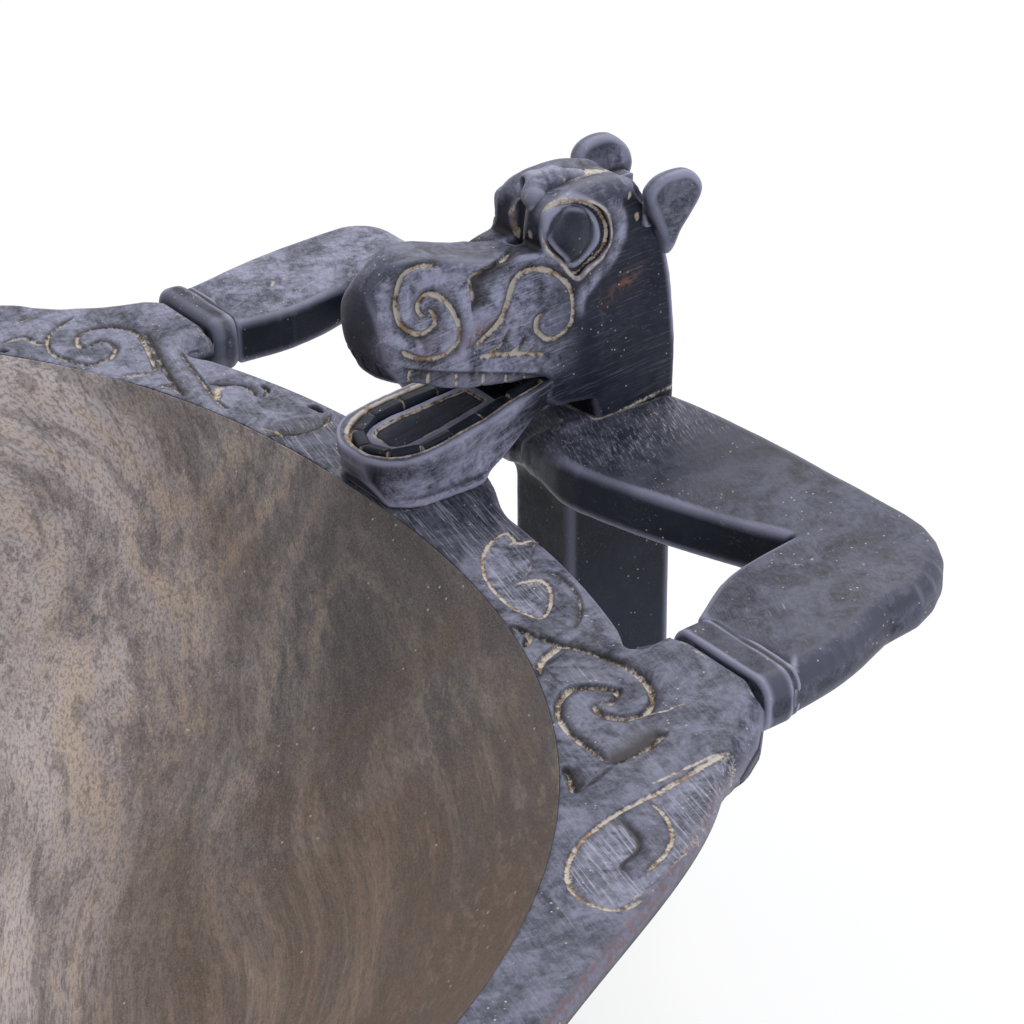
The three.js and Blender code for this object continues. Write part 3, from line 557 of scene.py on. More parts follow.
# Outlines of the head and jaw from the side, as along and up.
MUZZLE = np.vstack([
    smooth_line([(3.4, 39.2), (0.6, 44), (-1.2, 51), (-1.4, 59), (0.8, 66.6), (6.0, 72.4), (13, 75.4),
                 (22, 75), (32, 72.2), (43, 69.6), (52, 69), (67, 69)], 5),
    [(82, 68), (82, 26.3), (62, 26.3), (46, 28), (31, 31), (18, 34.6), (10, 37.4)],
])
SKULL = np.vstack([
    [(80.3, 5.5), (79, 11), (77.6, 14.4), (70, 15.4), (64, 16.2), (60.6, 18.4), (59.6, 22.4), (61.6, 25.8),
     (58, 34)],
    smooth_line([(60.2, 66), (59.8, 76), (62.4, 82.4), (70, 84.6), (91, 84.4), (98, 80), (104.6, 66),
                 (108, 54), (110, 40), (111, 28)], 4),
    [(111, 5.5)],
])
JAW_SIDE = np.array([
    (1, 0), (33, 0), (42, 5), (49, 10), (57, 15), (68, 16), (82, 16), (82, 25), (66, 25), (62, 26), (0, 15.5),
    (-4.4, 15), (-4, 11), (-2.4, 6),
])
CHEST_SIDE = np.array([(72, -20), (61, -9), (59, -4), (59.4, 1), (66, 6.4), (92, 7), (92, -20)])
# Half of the tongue's outline from above.
TONGUE = np.vstack([
    smooth_line([(4.6, 0), (5.4, 5.8), (8.8, 9.4), (16, 10.8), (30, 9.8), (46, 8.0)], 5), [(46, -4), (5, -4)],
])


def jaw_plan(inset):
    """Half of the jaw's outline from above, inset by a margin. The other half is its mirror."""
    side, front = 20.4 - inset, -4.0 + inset
    points = smooth_line([
        (front, 0), (front + 0.8, side * 0.35), (front + 4.6, side * 0.72), (front + 11, side * 0.95),
        (18, side), (32, side - 1.2), (48, side - 3.6), (63, 14.2 - inset * 0.8)], 5)
    return np.vstack([points, [(68, 12.4 - inset * 0.8), (82, 12.4 - inset * 0.8), (82, -4), (front, -4)]])


# ---------------------------------------------------------------- the pieces of a figure

def arm_plan(side):
    """Outline of an arm seen from above, from the shoulder round the elbow to the band."""
    inner, outer, radius = 119 + 9 * side, 166 + 9 * side, 27 - 9 * side
    upper = smooth_line([(58, 4), (56, 35), (67.5, inner - 30), (79, inner)], 4)
    forearm = smooth_line([(79, inner), (51.5, (inner + WRIST[0]) / 2 - 4), (BAND_END - 1.5, WRIST[0])], 4)
    start = np.array([(BAND_END - 1.5, WRIST[1])])
    middle = (BAND_END + HEAD_REACH - radius) / 2
    swing = smooth_line([start[0], (middle, (WRIST[1] + outer) / 2 + 2), (HEAD_REACH - radius, outer)], 5)
    turn = np.linspace(0.15, 1, 7) * math.pi / 2
    elbow = radius * np.stack([np.sin(turn), np.cos(turn)], 1) + (ELBOW_REACH - radius, outer - radius)
    back = [(ELBOW_REACH, 55), (HEAD_REACH + 2.5, 25), (HEAD_REACH, 4)]
    points = np.vstack([upper[:-1], forearm, swing, elbow, back])
    return points * (1, side)


def body_field(u, y, z):
    """The post, the chest and both arms, as one carving."""
    half = np.abs(y) - POST_HALF
    post = corner(np.maximum(POST_FRONT - u, u - HEAD_REACH), half, 3)
    post = corner(post, np.maximum(FLOOR - z, z - 7), 2)
    field = melt(post, corner(outline_distance(u, z, CHEST_SIDE), half, 3), 3)
    for side in (-1, 1):
        plan = outline_distance(u, y, arm_plan(side))
        middle = ARM_MIDDLE + ARM_SLOPE * (u - BAND_END)
        outward = ease(np.hypot(u - ARM_CROOK[0], np.abs(y) - ARM_CROOK[1]), 50, 76)
        crown = 0.9 * ease(-plan, 0, 20) - 0.9
        slab = np.abs(z - middle) - ARM_HALF - crown * (z > middle)
        field = melt(field, corner(plan, slab, 2.4 + 4.4 * outward), 4)
    return field


def body_detail(points, normal):
    """Grooves, lime, scratches, and rubbing with painted sheen on the post and arms."""
    u, y, z = points.T
    neck = footprint(u, y, NECK_FRONT, HEAD_REACH, 14.6)
    high = ease(z, 2, 6)
    cut = (np.exp(-(neck / 1.3) ** 2) * 0.9 + 0.25 * ease(hand_waver(u * 0.5, y * 0.5, z, 4, 11), 0.6, 1.4)
           * ease(22 - neck, 0, 10)) * high
    chest_cut, chest_lime = carve_cuts(y, z, CHEST_SCORES)
    chest = ease(-normal[:, 0], 0.3, 0.7) * (u < 80)
    lime = most(1.1 * np.exp(-np.abs(neck - 0.6) / 0.9) * high, chest_lime * chest,
                0.5 * ease(hand_waver(u, y, z, 9, 5), 0.9, 1.8) * ease(26 - neck, 0, 16) * high,
                carve_cuts(u, y, ARM_KNOCKS)[1] * high)
    cut = cut + 0.16 * hand_waver(u, y, z, 44, 3) + 0.03 * hand_waver(u, y, z, 13, 8) + chest_cut * chest
    # Painted sheen: faces turned up are paler, more so on the far side and towards the elbows, and the outer
    # sides past the elbows carry a painted highlight.
    top = ease(normal[:, 2], 0.3, 0.8)
    elbow = ease(np.hypot(u - ARM_CROOK[0], np.abs(y) - ARM_CROOK[1]), 52, 72)
    elbow = elbow * ease(-normal[:, 2], -0.9, -0.2) * ease(z, -16, -6)
    far = ease(y, -60, 60)
    scuff_and_sheen = np.maximum(top * (0.08 + 0.18 * ease(np.abs(y), 40, 110) + 0.50 * far), 0.26 * elbow)
    return cut, {"lime": lime, "scuff_and_sheen": scuff_and_sheen, "scored": 0.8 * ease(40 - neck, 0, 20) * top}


def head_field(u, y, z):
    """The muzzle, the skull, the neck and the brows."""
    across = np.abs(y)
    full = 4.4 * (across / MUZZLE_HALF) ** 2 * ease(-u, -28, -8)
    snout = outline_distance(u - full, z, MUZZLE)
    half = (MUZZLE_HALF - 0.7 * ease(-z, -47, -36) + 0.7 * ease(u, 40, 60)
            - 3.4 * ease(z, 48, 78) * ease(-u, -66, -44))
    soft = (1.4 + 1.6 * ease(z, 38, 46) * ease(-u, -18, -8) + 1.8 * ease(z, 60, 70) * ease(-u, -66, -30)
            + 3.4 * ease(z, 58, 68) * ease(-u, -16, -6))
    muzzle = corner(snout, across - half, soft)
    skull = corner(outline_distance(u, z, SKULL), across - 14.5, 1.8 + 3.0 * ease(z, 72, 82))
    field = melt(muzzle, skull, 2.2)
    brows = blob(u, across, z, (79.5, 9.6, 79.0), (18.5, 6.2, 8.0))
    field = melt(field, brows, 2.2)
    field = scoop(field, rod(u, across, z, (66, 0, 87.6), (100, 0, 90.4), 2.2, 3.2), 1.6)
    field = scoop(field, rod(u, across, z, (58.6, 0, 68), (59.6, 0, 92), 2.6, 3.4), 1.6)
    return scoop(field, np.maximum(outline_distance(u, z, EYE_LINE), 12.4 - across), 0.5)


def head_detail(points, normal):
    """The scrolls, the teeth ticks and the lime on the head."""
    u, y, z = points.T
    flank = ease(np.abs(normal[:, 1]), 0.12, 0.4)
    side_on = ease(np.abs(normal[:, 1]), 0.45, 0.8)
    shift = (MUZZLE_HALF - np.abs(y)) / (np.abs(y) + SIGHT[1])
    cut, lime = carve_cuts(u + (u - SIGHT[0]) * shift, z + (z - SIGHT[2]) * shift, HEAD_CUTS)
    tick_cut, tick_lime = carve_cuts(u, z, TOOTH_TICKS)
    half = ease(np.abs(y), 1.5, 4)
    cut, lime = np.maximum(cut * half, tick_cut * flank), np.maximum(lime * half, tick_lime * flank)
    # Painted shade at the bottom of the scroll cuts.
    sunk = np.clip(cut * 1.1, 0, 1)
    front = ease(-normal[:, 0], 0.4, 0.8) * ease(-u, -14, -8)
    lip = 46.5 - 0.02 * y * y
    front_cut, front_lime = carve_cuts(y, z, FRONT_CUTS)
    cut = np.maximum(cut, front_cut * front + 0.35 * ease(lip - z, 0, 1) * front)
    ring = outline_distance(u, z, EYE_LINE)
    ridge, side, along, reach = line_distance(u, z, BROW_RIDGE)
    behind = np.where(side > 0, 1.0, np.clip(ring / (ring + ridge + 0.01), 0, 1)) * (ring > 0)
    low = ease(reach - along, 0, 10) * ease(along, 0, 6) * ease(z, 26, 46)
    cut = cut + 1.9 * flank * behind * low * ease(u, 66, 74) * ease(-u, -109, -98)
    crease = np.abs(z - np.interp(u, (80, 94.5, 110.4), (5.8, 8.5, 10.7)))
    valley = np.exp(-(y / 3.4) ** 2) * ease(z, 79, 83) * ease(u, 66, 80)
    lime = most(lime, front_lime * front, 0.75 * valley,
                flank * np.clip(1.5 - np.abs(ring) / 1.1, 0, 1) * ease(u, 58.6, 60.4),
                flank * np.exp(-crease / 0.9) * ease(u, 78, 82))
    rub = most(*[strength * np.exp(-(((u - at) / length) ** 2 + ((z - up - slope * (u - at)) / height) ** 2))
                 for strength, at, up, slope, length, height in RUB_SPOTS])
    cut = cut + 0.16 * hand_waver(u, y, z, 24, 31) + 0.06 * hand_waver(u, y, z, 8, 32)
    # Painted highlight on the rounded front corner of the snout, on the facet behind the eye and along the
    # brow ridge, and painted sheen on the snout's flank, on faces turned up and on the top of the head.
    rolled = np.exp(-((np.abs(normal[:, 1]) - 0.66) / 0.26) ** 2)
    rolled = rolled * ease(-normal[:, 0], 0.15, 0.5) * ease(z, 38, 44)
    facet_highlight = np.clip(1.3 - ridge / 4.4, 0, 1) * (side < 0) * (ring > 0) * side_on * ease(reach - along, 0, 6)
    scuff_and_sheen = most(side_on * ease(-u, -76, -50) * ease(z, 24, 34), rolled * (u < 24), 0.95 * facet_highlight,
                 0.5 * ease(normal[:, 2], 0.3, 0.7) * ease(z, 60, 64), 0.5 * ease(z, 80, 84),
                 np.exp(-ridge ** 2) * side_on * ease(reach - along, 0, 8))
    for at, up, across in DRIPS:
        drop = np.exp(-(((u - at) / 0.9) ** 2 + ((z - up) / 1.7) ** 2 + ((y - across) / 1.6) ** 2))
        lime = np.maximum(lime, 1.6 * drop)
    scored = side_on * (0.15 + 0.6 * ease(-u, -76, -54))
    # Edge highlights are left off at the mouth corner, under the head, where it lies in shade.
    return cut, {"lime": lime, "rub": rub * flank, "scuff_and_sheen": scuff_and_sheen, "scored": scored, "sunk": sunk,
                 "in_shade": 0.8 * ease(u, 54, 60) * ease(-z, -32, -24)}


def eye_field(u, y, z):
    """A dark lens with a smaller swelling in it."""
    inset = np.clip(-outline_distance(u, z, EYE_LENS) / 3.2, -1, 1)
    swell = 12.3 + 1.4 * np.sqrt(np.clip(inset * (2 - inset), 0, 1))
    lens = np.maximum((y - swell) * 0.8, -inset * 3.2)
    pupil = blob(u, y, z, (69.4, 12.6, 72.6), (8.6, 3.3, 9.4))
    return np.maximum(np.minimum(lens, np.maximum(pupil, -inset * 3.2 + 0.6)), 11.4 - y)


def ear_field(u, y, z):
    """A leaf that leans out from the back of the head, hollowed a little on its outer side."""
    lean = y - 0.22 * (z - 60)
    leaf = corner(outline_distance(u, z, EAR_LINE), np.abs(lean - 13.8) - 3.0, 2.4)
    spoon = blob(u, lean, z, (106.5, 19.6, 78.2), (7.4, 4.0, 7.4))
    tenon = corner(np.maximum(98 - u, u - 112), np.maximum(np.abs(z - 72) - 4, np.abs(y - 11.8) - 2.6), 1)
    return np.minimum(scoop(leaf, spoon, 1.5), tenon)


def crest_field(u, y, z):
    """The rolled leaf between the brows, with the hollow of its roll in front."""
    parts = [rod(u, y, z, *span) for span in zip(CREST_RUN, CREST_RUN[1:], CREST_RADII, CREST_RADII[1:])]
    field = functools.reduce(lambda whole, part: melt(whole, part, 2.5), parts)
    hole = rod(u, y, z, (60.5, 1.6, 85.6), (67.4, 1.2, 85.9), 2.6, 1.8)
    return scoop(field, hole, 0.6)


def jaw_field(u, y, z):
    """The lower jaw with its lip, the ledge for the teeth and the floor of the mouth."""
    across = np.abs(y)
    lip = LIP_FRONT + LIP_SLOPE * u
    tuck = 2.0 * ease(lip - 1.5 - z, 0, 7) - 1.3 * ease(3.0 - z, 0, 3)
    field = corner(outline_distance(u, z, JAW_SIDE), outline_distance(u, across + tuck, jaw_plan(0)), 0.8)
    ledge = most(outline_distance(u, across, jaw_plan(3.4)), lip - 2.8 - z, u - 59)
    floor = most(outline_distance(u, across, jaw_plan(7.8)), lip - 5.2 - z, u - 58)
    return scoop(scoop(field, ledge, 0.7), floor, 0.7)


def jaw_detail(points, normal):
    """Lime along the inside of the lip and where the jaw sits on the rim."""
    u, y, z = points.T
    across = np.abs(y)
    lip = LIP_FRONT + LIP_SLOPE * u
    inset = outline_distance(u, across, jaw_plan(3.4))
    inner = 1.1 * np.exp(-(np.abs(inset - 0.3) / 1.3) ** 2) * ease(z - lip, -3.6, -2.6) * (u < 60)
    base = np.exp(-np.clip(z, 0, 9) / 0.8) * 0.75
    dust = 0.22 * ease(hand_waver(u, y, z, 5, 51), 0.6, 1.6) * ease(normal[:, 2], 0.3, 0.8)
    cut = 0.14 * hand_waver(u, y, z, 20, 52) + 0.05 * hand_waver(u, y, z, 7, 53)
    # Painted sheen on the flank of the jaw and on the top of its lip, fading out towards the back, which is
    # left dark as in shade and without edge highlights.
    side = ease(np.abs(normal[:, 1]), 0.4, 0.8)
    shaded_tail = ease(u, 44, 58)
    scuff_and_sheen = np.maximum(0.85 * side, 0.4 * ease(normal[:, 2], 0.3, 0.8) * (z > lip - 2)) * (1 - shaded_tail)
    return cut, {"lime": most(inner, base, dust), "scuff_and_sheen": scuff_and_sheen, "scored": 0.6 * side,
                 "in_shade": 0.9 * shaded_tail}


def tongue_field(u, y, z):
    """The tongue, a long plate with a raised border."""
    top = LIP_FRONT + LIP_SLOPE * u - 1.6
    plan = outline_distance(u, np.abs(y), TONGUE)
    plate = corner(plan, np.abs(z - top + 2.2) - 2.2, 1.3)
    sunk = np.maximum(plan + 3.0, top - 0.7 - z)
    return scoop(plate, sunk, 0.4)


def tongue_detail(points, normal):
    """Lime inside the tongue's border."""
    u, y, z = points.T
    plan = outline_distance(u, np.abs(y), TONGUE)
    lime = np.exp(-(np.abs(plan + 3.1) / 0.7) ** 2) * ease(normal[:, 2], 0.2, 0.7)
    dust = 0.3 * ease(hand_waver(u, y, z, 6, 61), 0.7, 1.6) * ease(normal[:, 2], 0.3, 0.8)
    return 0.08 * hand_waver(u, y, z, 9, 62), {"lime": np.maximum(lime, dust), "scuff_and_sheen": np.full(len(u), 0.1)}


def band_field(u, y, z, proud, soft):
    """A band round the wrist, a rounded strap with a narrower step behind it."""
    wide = np.abs(y - (WRIST[0] + WRIST[1]) / 2) - (WRIST[1] - WRIST[0]) / 2
    middle = -3.8 + ARM_SLOPE * (u - BAND_END)
    body = corner(wide - proud * 0.5, np.abs(z - middle) - 7.9 - proud, 6.4)
    strap = corner(body, np.abs(u - 26.4) - 4.9, soft)
    step = corner(body + proud, np.abs(u - 30) - 4.4, 1.2)
    return melt(strap, step, 0.8)


# The left band is nearly level with the arm. The right one is a full round ring.
left_band_field = functools.partial(band_field, proud=0.7, soft=1.3)
right_band_field = functools.partial(band_field, proud=2.2, soft=3.4)


def plain_detail(seed, dust, waver, scuff_and_sheen):
    """Detail of a piece with no scrolls: its unevenness, its rubbing and painted sheen, and a little lime
    dust.
    """
    def detail(points, normal):
        u, y, z = points.T
        lime = dust * ease(hand_waver(u, y, z, 5, seed), 0.5, 1.6)
        cut = waver * (hand_waver(u, y, z, 16, seed + 1) + 0.4 * hand_waver(u, y, z, 6, seed + 2))
        uneven = 0.6 + 0.4 * ease(hand_waver(u, y, z, 18, seed + 3), -0.5, 0.8)
        return cut, {"lime": lime, "scuff_and_sheen": scuff_and_sheen * uneven}
    return detail


def mirrored(points, faces, traits):
    """The same carving on the other side of the figure, still facing out."""
    return points * (1, -1, 1), faces[:, ::-1], traits


# ---------------------------------------------------------------- the bowl

def oval(angle):
    """The opening's edge at angles round the bowl, with the way out of it."""
    power = 2 / OVAL_POWER
    c, s = np.cos(angle), np.sin(angle)
    x = np.sign(c) * np.abs(c) ** power * HALF_LENGTH
    y = np.sign(s) * np.abs(s) ** power * HALF_WIDTH
    nx = np.sign(x) * np.abs(x / HALF_LENGTH) ** (OVAL_POWER - 1) / HALF_LENGTH
    ny = np.sign(y) * np.abs(y / HALF_WIDTH) ** (OVAL_POWER - 1) / HALF_WIDTH
    size = np.hypot(nx, ny)
    return np.stack([x, y], 1), np.stack([nx / size, ny / size], 1)


def rim_width(across):
    """Width of the rim at a distance from the middle line."""
    across = np.abs(across)
    jaw = 11 * (1 - ease(across, 6, 39))
    hand = 15 * ease(across, 120, 152)
    side = 24 * ease(across, 152, 231)
    return 29 + jaw + hand - side


def even_stations(spacing):
    """Angles from one side of the bowl round its front end to the other, closer where it is carved."""
    angle = np.linspace(-math.pi / 2, math.pi / 2, 6001)
    edge, _ = oval(angle)
    run = run_along(edge)
    distance = np.abs(run - run[-1] / 2)
    step = spacing * (1 + 3.5 * ease(distance, 262, 300) + 0.8 * ease(42 - distance, 0, 14))
    count = np.concatenate([[0], np.cumsum(np.diff(run) / step[1:])])
    wanted = np.linspace(0, count[-1], int(count[-1]) + 1)
    return np.interp(wanted, count, angle)


def rim_edges(angle):
    """Inner and outer edge of the front half of the rim, with the wrists that reach out of it."""
    edge, out = oval(angle)
    inner = edge - (HALF_LENGTH, 0)
    outer = inner + out * rim_width(inner[:, 1])[:, None]
    for side in (-1, 1):
        across = outer[:, 1] * side
        index = np.flatnonzero((across > 104) & (across < 212))
        order = np.argsort(across[index])
        part = outer[index][order] * (1, side)
        before = part[part[:, 1] < WRIST[0] - 1.5]
        after = part[part[:, 1] > WRIST[1] + 25]
        wrist = [(BAND_START - 12, WRIST[0] - 0.4), (BAND_START, WRIST[0]), (BAND_START, WRIST[1]),
                 (BAND_START - 5, WRIST[1] + 5), (BAND_START - 11, WRIST[1] + 11),
                 (BAND_START - 22, WRIST[1] + 18)]
        path = np.vstack([before, wrist, after])
        evenly = np.linspace(0, run_along(path)[-1], len(index))
        outer[index[order]] = places_along(path, evenly) * (1, side)
    return inner, outer, out


def rim_surface(u, y, edge):
    """Height of the rim's top and its traits at places along and across, given the way to its outer edge."""
    cut, lime = carve_cuts(u, y, NEAR_CUTS + FAR_CUTS + KNOCKS)
    # Painted shade at the bottom of the cuts.
    hollow = np.clip(cut * 1.1, 0, 1)
    scuff_and_sheen = np.zeros(u.shape)
    finger = outline_distance(u, y, FINGER)
    for outline, depth in NEAR_FIELDS:
        inward = -outline_distance(u, y, outline)
        sunk = ease(inward, 0, 1.2) * ease(finger, -0.3, 0.8)
        cut = np.maximum(cut, depth * sunk)
        scuff_and_sheen = np.maximum(scuff_and_sheen, sunk)
        dusty = 0.52 * np.exp(-np.maximum(inward - 0.6, 0) / 2.0)
        lime = np.maximum(lime, dusty * (inward > 0) * (finger > 0))
    across = np.abs(y)
    in_wrist = ease(across, WRIST[0] - 8, WRIST[0] + 2) * ease(-across, -WRIST[1] - 12, -WRIST[1] + 4)
    rise = 3.2 * ease(u, -6, 20) * in_wrist
    radius = 2.6 + 6.0 * ease(across, 158, 166) * ease(-across, -196, -182)
    radius = radius + 3.4 * ease(across, 112, 120) * ease(-across, -136, -128) * ease(u, 4, 12)
    fall = radius - np.sqrt(np.maximum(radius ** 2 - np.maximum(radius - edge, 0) ** 2, 0))
    jaw = footprint(u, y, -2.4, 38, 17.5)
    seat = np.exp(-(jaw / 1.4) ** 2)
    lime = most(lime, 0.85 * np.exp(-np.abs(jaw - 0.8) / 0.8),
                0.6 * np.exp(-np.abs(BAND_START - 2.4 - u) / 0.9) * in_wrist)
    waver = 0.16 * hand_waver(u, y, u * 0, 40, 41) + 0.03 * hand_waver(u, y, u * 0, 12, 42)
    height = rise - fall - cut - 0.5 * seat - waver * ease(edge, 0, 4)
    scored = np.maximum(scuff_and_sheen, 0.8 * ease(60 - across, 0, 12))
    # The rim's top is paler, more so on the far side and less near the jaw: painted sheen, with real scuffing
    # inside the carved-down fields.
    scuff_and_sheen = np.maximum(scuff_and_sheen * 0.62, 0.46 + 0.18 * ease(y, -60, 100) - 0.26 * ease(60 - across, 0, 12))
    # The outer edge is paler: partly wear, partly painted highlight.
    wear_and_highlight = np.clip(1.3 - edge / 2.2, 0, 1) * 0.6
    return height, {"lime": lime, "scuff_and_sheen": scuff_and_sheen, "scored": scored, "hollow": hollow, "wear_and_highlight": wear_and_highlight,
                    "rub": 0.8 * ease(3.4 - edge, 0, 2) * ease(across, 176, 196)}


def skin(rings):
    """Triangles between closed rings of points, with a fan over the first ring and the last."""
    rows, count = rings.shape[:2]
    points = np.vstack([rings.reshape(-1, 3), rings[0].mean(axis=0), rings[-1].mean(axis=0)])
    index = np.arange(rows * count).reshape(rows, count)
    following = np.roll(index, -1, axis=1)
    a, b, c, d = (part.ravel() for part in (index[:-1], following[:-1], following[1:], index[1:]))
    first, last = np.full(count, rows * count), np.full(count, rows * count + 1)
    corners = ((a, c, b), (a, d, c), (first, index[0], following[0]), (last, following[-1], index[-1]))
    return points, np.vstack([np.stack(each, 1) for each in corners])


def rim_carving(spacing, width=44):
    """The front half of the rim as a closed shell, with as many lines across as its widest place needs."""
    angle = even_stations(spacing)
    inner, outer, out = rim_edges(angle)
    rows = int(round(width / spacing)) + 1
    share = np.linspace(0, 1, rows)[:, None]
    flat = inner + (outer - inner) * share[..., None]
    u, y = flat[..., 0].ravel(), flat[..., 1].ravel()
    height, traits = rim_surface(u, y, line_distance(u, y, outer[::2])[0])
    height = height.reshape(rows, -1) - np.maximum(0.8 - share * width, 0) ** 2 * 0.3
    top = np.concatenate([flat, height[..., None]], 2)

    centre = np.array([-HALF_LENGTH, 0.0])
    lip = centre + (inner - centre) * WALL_TOP
    low = -RIM_THICKNESS
    under = [np.insert(base - out * inset, 2, level, axis=1) for base, inset, level in (
        (outer, 0.4, -5.5), (outer, 3.6, low + 1.2), (outer, 6.0, low), (outer, 12.0, low),
        (inner, -8.0, low + 0.6), (lip, -3.0, -4.0), (lip, 0.0, -LIP_DROP))]
    shell = np.concatenate([top, under])
    shell[..., 1] = np.clip(shell[..., 1], -RIM_REACH, RIM_REACH)
    points, faces = skin(shell.transpose(1, 0, 2))
    plain = np.zeros((len(under), len(angle)))
    traits = {name: np.append(np.vstack([values.reshape(rows, -1), plain]).T, [0, 0])
              for name, values in traits.items()}
    return points, faces[:, ::-1], traits


def bowl_wall(count=288, steps=44):
    """The hollow, the outside and the foot, turned to the opening's oval as one closed skin."""
    edge, out = oval(np.arange(count) / count * 2 * math.pi)
    # Each ring is a share of the opening's oval, a height, and how far it is pushed out.
    rings = [(share, -BOWL_DEPTH * (1 - share ** BOWL_CURVE), 0)
             for share in WALL_TOP * np.sin(np.linspace(0.012, 1, steps) * math.pi / 2)]
    rings += [(WALL_TOP, -3.0, 4.0), (WALL_TOP, 1 - RIM_THICKNESS, 10.0)]
    for share in np.linspace(0.97, 0.30, 26):
        slope = BOWL_DEPTH * BOWL_CURVE * share ** (BOWL_CURVE - 1) / ((HALF_LENGTH + HALF_WIDTH) / 2)
        lean = math.hypot(1, slope)
        height = -BOWL_DEPTH * (1 - share ** BOWL_CURVE) - BOWL_WALL / lean
        rings.append((share, height, BOWL_WALL * slope / lean))
    foot = np.array(FOOT_HALF) / (HALF_LENGTH, HALF_WIDTH)
    rings += [(foot * share, height, 0) for share, height in (
        (0.975, -148.5), (0.955, -152), (0.965, -158), (0.995, FLOOR + 0.8), (0.99, FLOOR), (0.9, FLOOR))]
    rings = np.array([
        np.insert(edge * share + out * push, 2, height, axis=1) for share, height, push in rings])
    x, y, z = np.moveaxis(rings, 2, 0)
    inside = np.zeros(z.shape)
    inside[:steps] = 1
    rings[..., 2] += inside * ease(-z, 4, 30) * (
        0.35 * hand_waver(x, y, z, 120, 71) + 0.1 * hand_waver(x, y, z, 45, 72))
    return (*skin(rings), np.append(inside, [1, 0]))


# ---------------------------------------------------------------- finishes

class Socket:
    """A node's output, with arithmetic that adds Math nodes."""

    def __init__(self, tree, output):
        self.tree, self.output = tree, output

    def math(self, operation, *others):
        return self.tree.add("ShaderNodeMath", {"operation": operation}, [self, *others])

    def __add__(self, other):
        return self.math("ADD", other)

    def __sub__(self, other):
        return self.math("SUBTRACT", other)

    def __rsub__(self, other):
        return self.tree.add("ShaderNodeMath", {"operation": "SUBTRACT"}, [other, self])

    def __mul__(self, other):
        return self.math("MULTIPLY", other)

    __radd__ = __add__
    __rmul__ = __mul__

    def most(self, other):
        return self.math("MAXIMUM", other)

    def ramp(self, low, high):
        """0 below low and 1 above high, with a smooth step between."""
        return self.tree.add("ShaderNodeMapRange", {"interpolation_type": "SMOOTHSTEP"},
                             {"Value": self, "From Min": low, "From Max": high})


class Tree:
    """A node tree with one way to add its nodes."""

    def __init__(self, tree):
        self.nodes, self.links = tree.nodes, tree.links

    def add(self, kind, settings={}, inputs={}, output=0):
        """Adds a node: its settings first, then the values or links of its sockets."""
        node = self.nodes.new(kind)
        for name, value in settings.items():
            setattr(node, name, value)
        for socket, value in inputs.items() if isinstance(inputs, dict) else enumerate(inputs):
            self.feed(node.inputs[socket], value)
        return Socket(self, node.outputs[output])

    def feed(self, socket, value):
        """Links a socket, or sets its value. A colour of three parts is given its fourth."""
        if isinstance(value, Socket):
            self.links.new(value.output, socket)
        else:
            socket.default_value = (*value[:3], 1) if socket.type == "RGBA" else value

    def part(self, vector, axis):
        return self.add("ShaderNodeSeparateXYZ", {}, [vector], axis)

    def seen(self):
        """1 where the camera sees a surface, also through gloss, and 0 where its light falls on the rest."""
        camera, gloss, clear = (self.add("ShaderNodeLightPath", output=f"Is {kind} Ray")
                                for kind in ("Camera", "Glossy", "Transmission"))
        return camera.most(gloss).most(clear)


class Finish(Tree):
    """A material built node by node."""

    def __init__(self, name):
        self.material = bpy.data.materials.new(name)
        self.material.use_nodes = True
        super().__init__(self.material.node_tree)
        self.shader = self.nodes["Principled BSDF"]
        self.object = self.add("ShaderNodeTexCoord", output="Object")

    def colours(self, position, stops):
        """Colours that run into each other along a value."""
        found = self.add("ShaderNodeValToRGB", {}, [position], "Color")
        ramp = found.output.node.color_ramp
        while len(ramp.elements) < len(stops):
            ramp.elements.new(0.5)
        for element, (place_at, colour) in zip(ramp.elements, stops):
            element.position = place_at
            element.color = (*colour, 1)
        return found

    def trait(self, name):
        return self.add("ShaderNodeAttribute", {"attribute_name": name}, output="Fac")

    def stretch(self, scale, turn=(0, 0, 0), source=None):
        """Object coordinates scaled along turned axes."""
        inputs = {"Vector": source or self.object, "Rotation": turn, "Scale": [1 / part for part in scale]}
        return self.add("ShaderNodeMapping", {"vector_type": "TEXTURE"}, inputs)

    def noise(self, vector, scale, detail=3.0, rough=0.5, warp=0.0, output="Fac"):
        inputs = {"Vector": vector, "Scale": scale, "Detail": detail, "Roughness": rough, "Distortion": warp}
        return self.add("ShaderNodeTexNoise", {}, inputs, output)

    def specks(self, scale, size, chance):
        """Small round specks, where chance is high."""
        cells = self.add("ShaderNodeTexVoronoi", {}, {"Vector": self.object, "Scale": scale}, "Distance")
        return (1 - cells.ramp(size, size * 2)) * chance

    def mix(self, factor, first, second):
        """One colour over another."""
        return self.add("ShaderNodeMix", {"data_type": "RGBA"}, {"Factor": factor, 6: first, 7: second}, 2)

    def bump(self, height, strength, distance):
        return self.add("ShaderNodeBump", {}, {"Height": height, "Strength": strength, "Distance": distance})

    def set(self, **values):
        """Sets the shader's own sockets, named with underscores for spaces."""
        for name, value in values.items():
            self.feed(self.shader.inputs[name.replace("_", " ")], value)
        return self.material


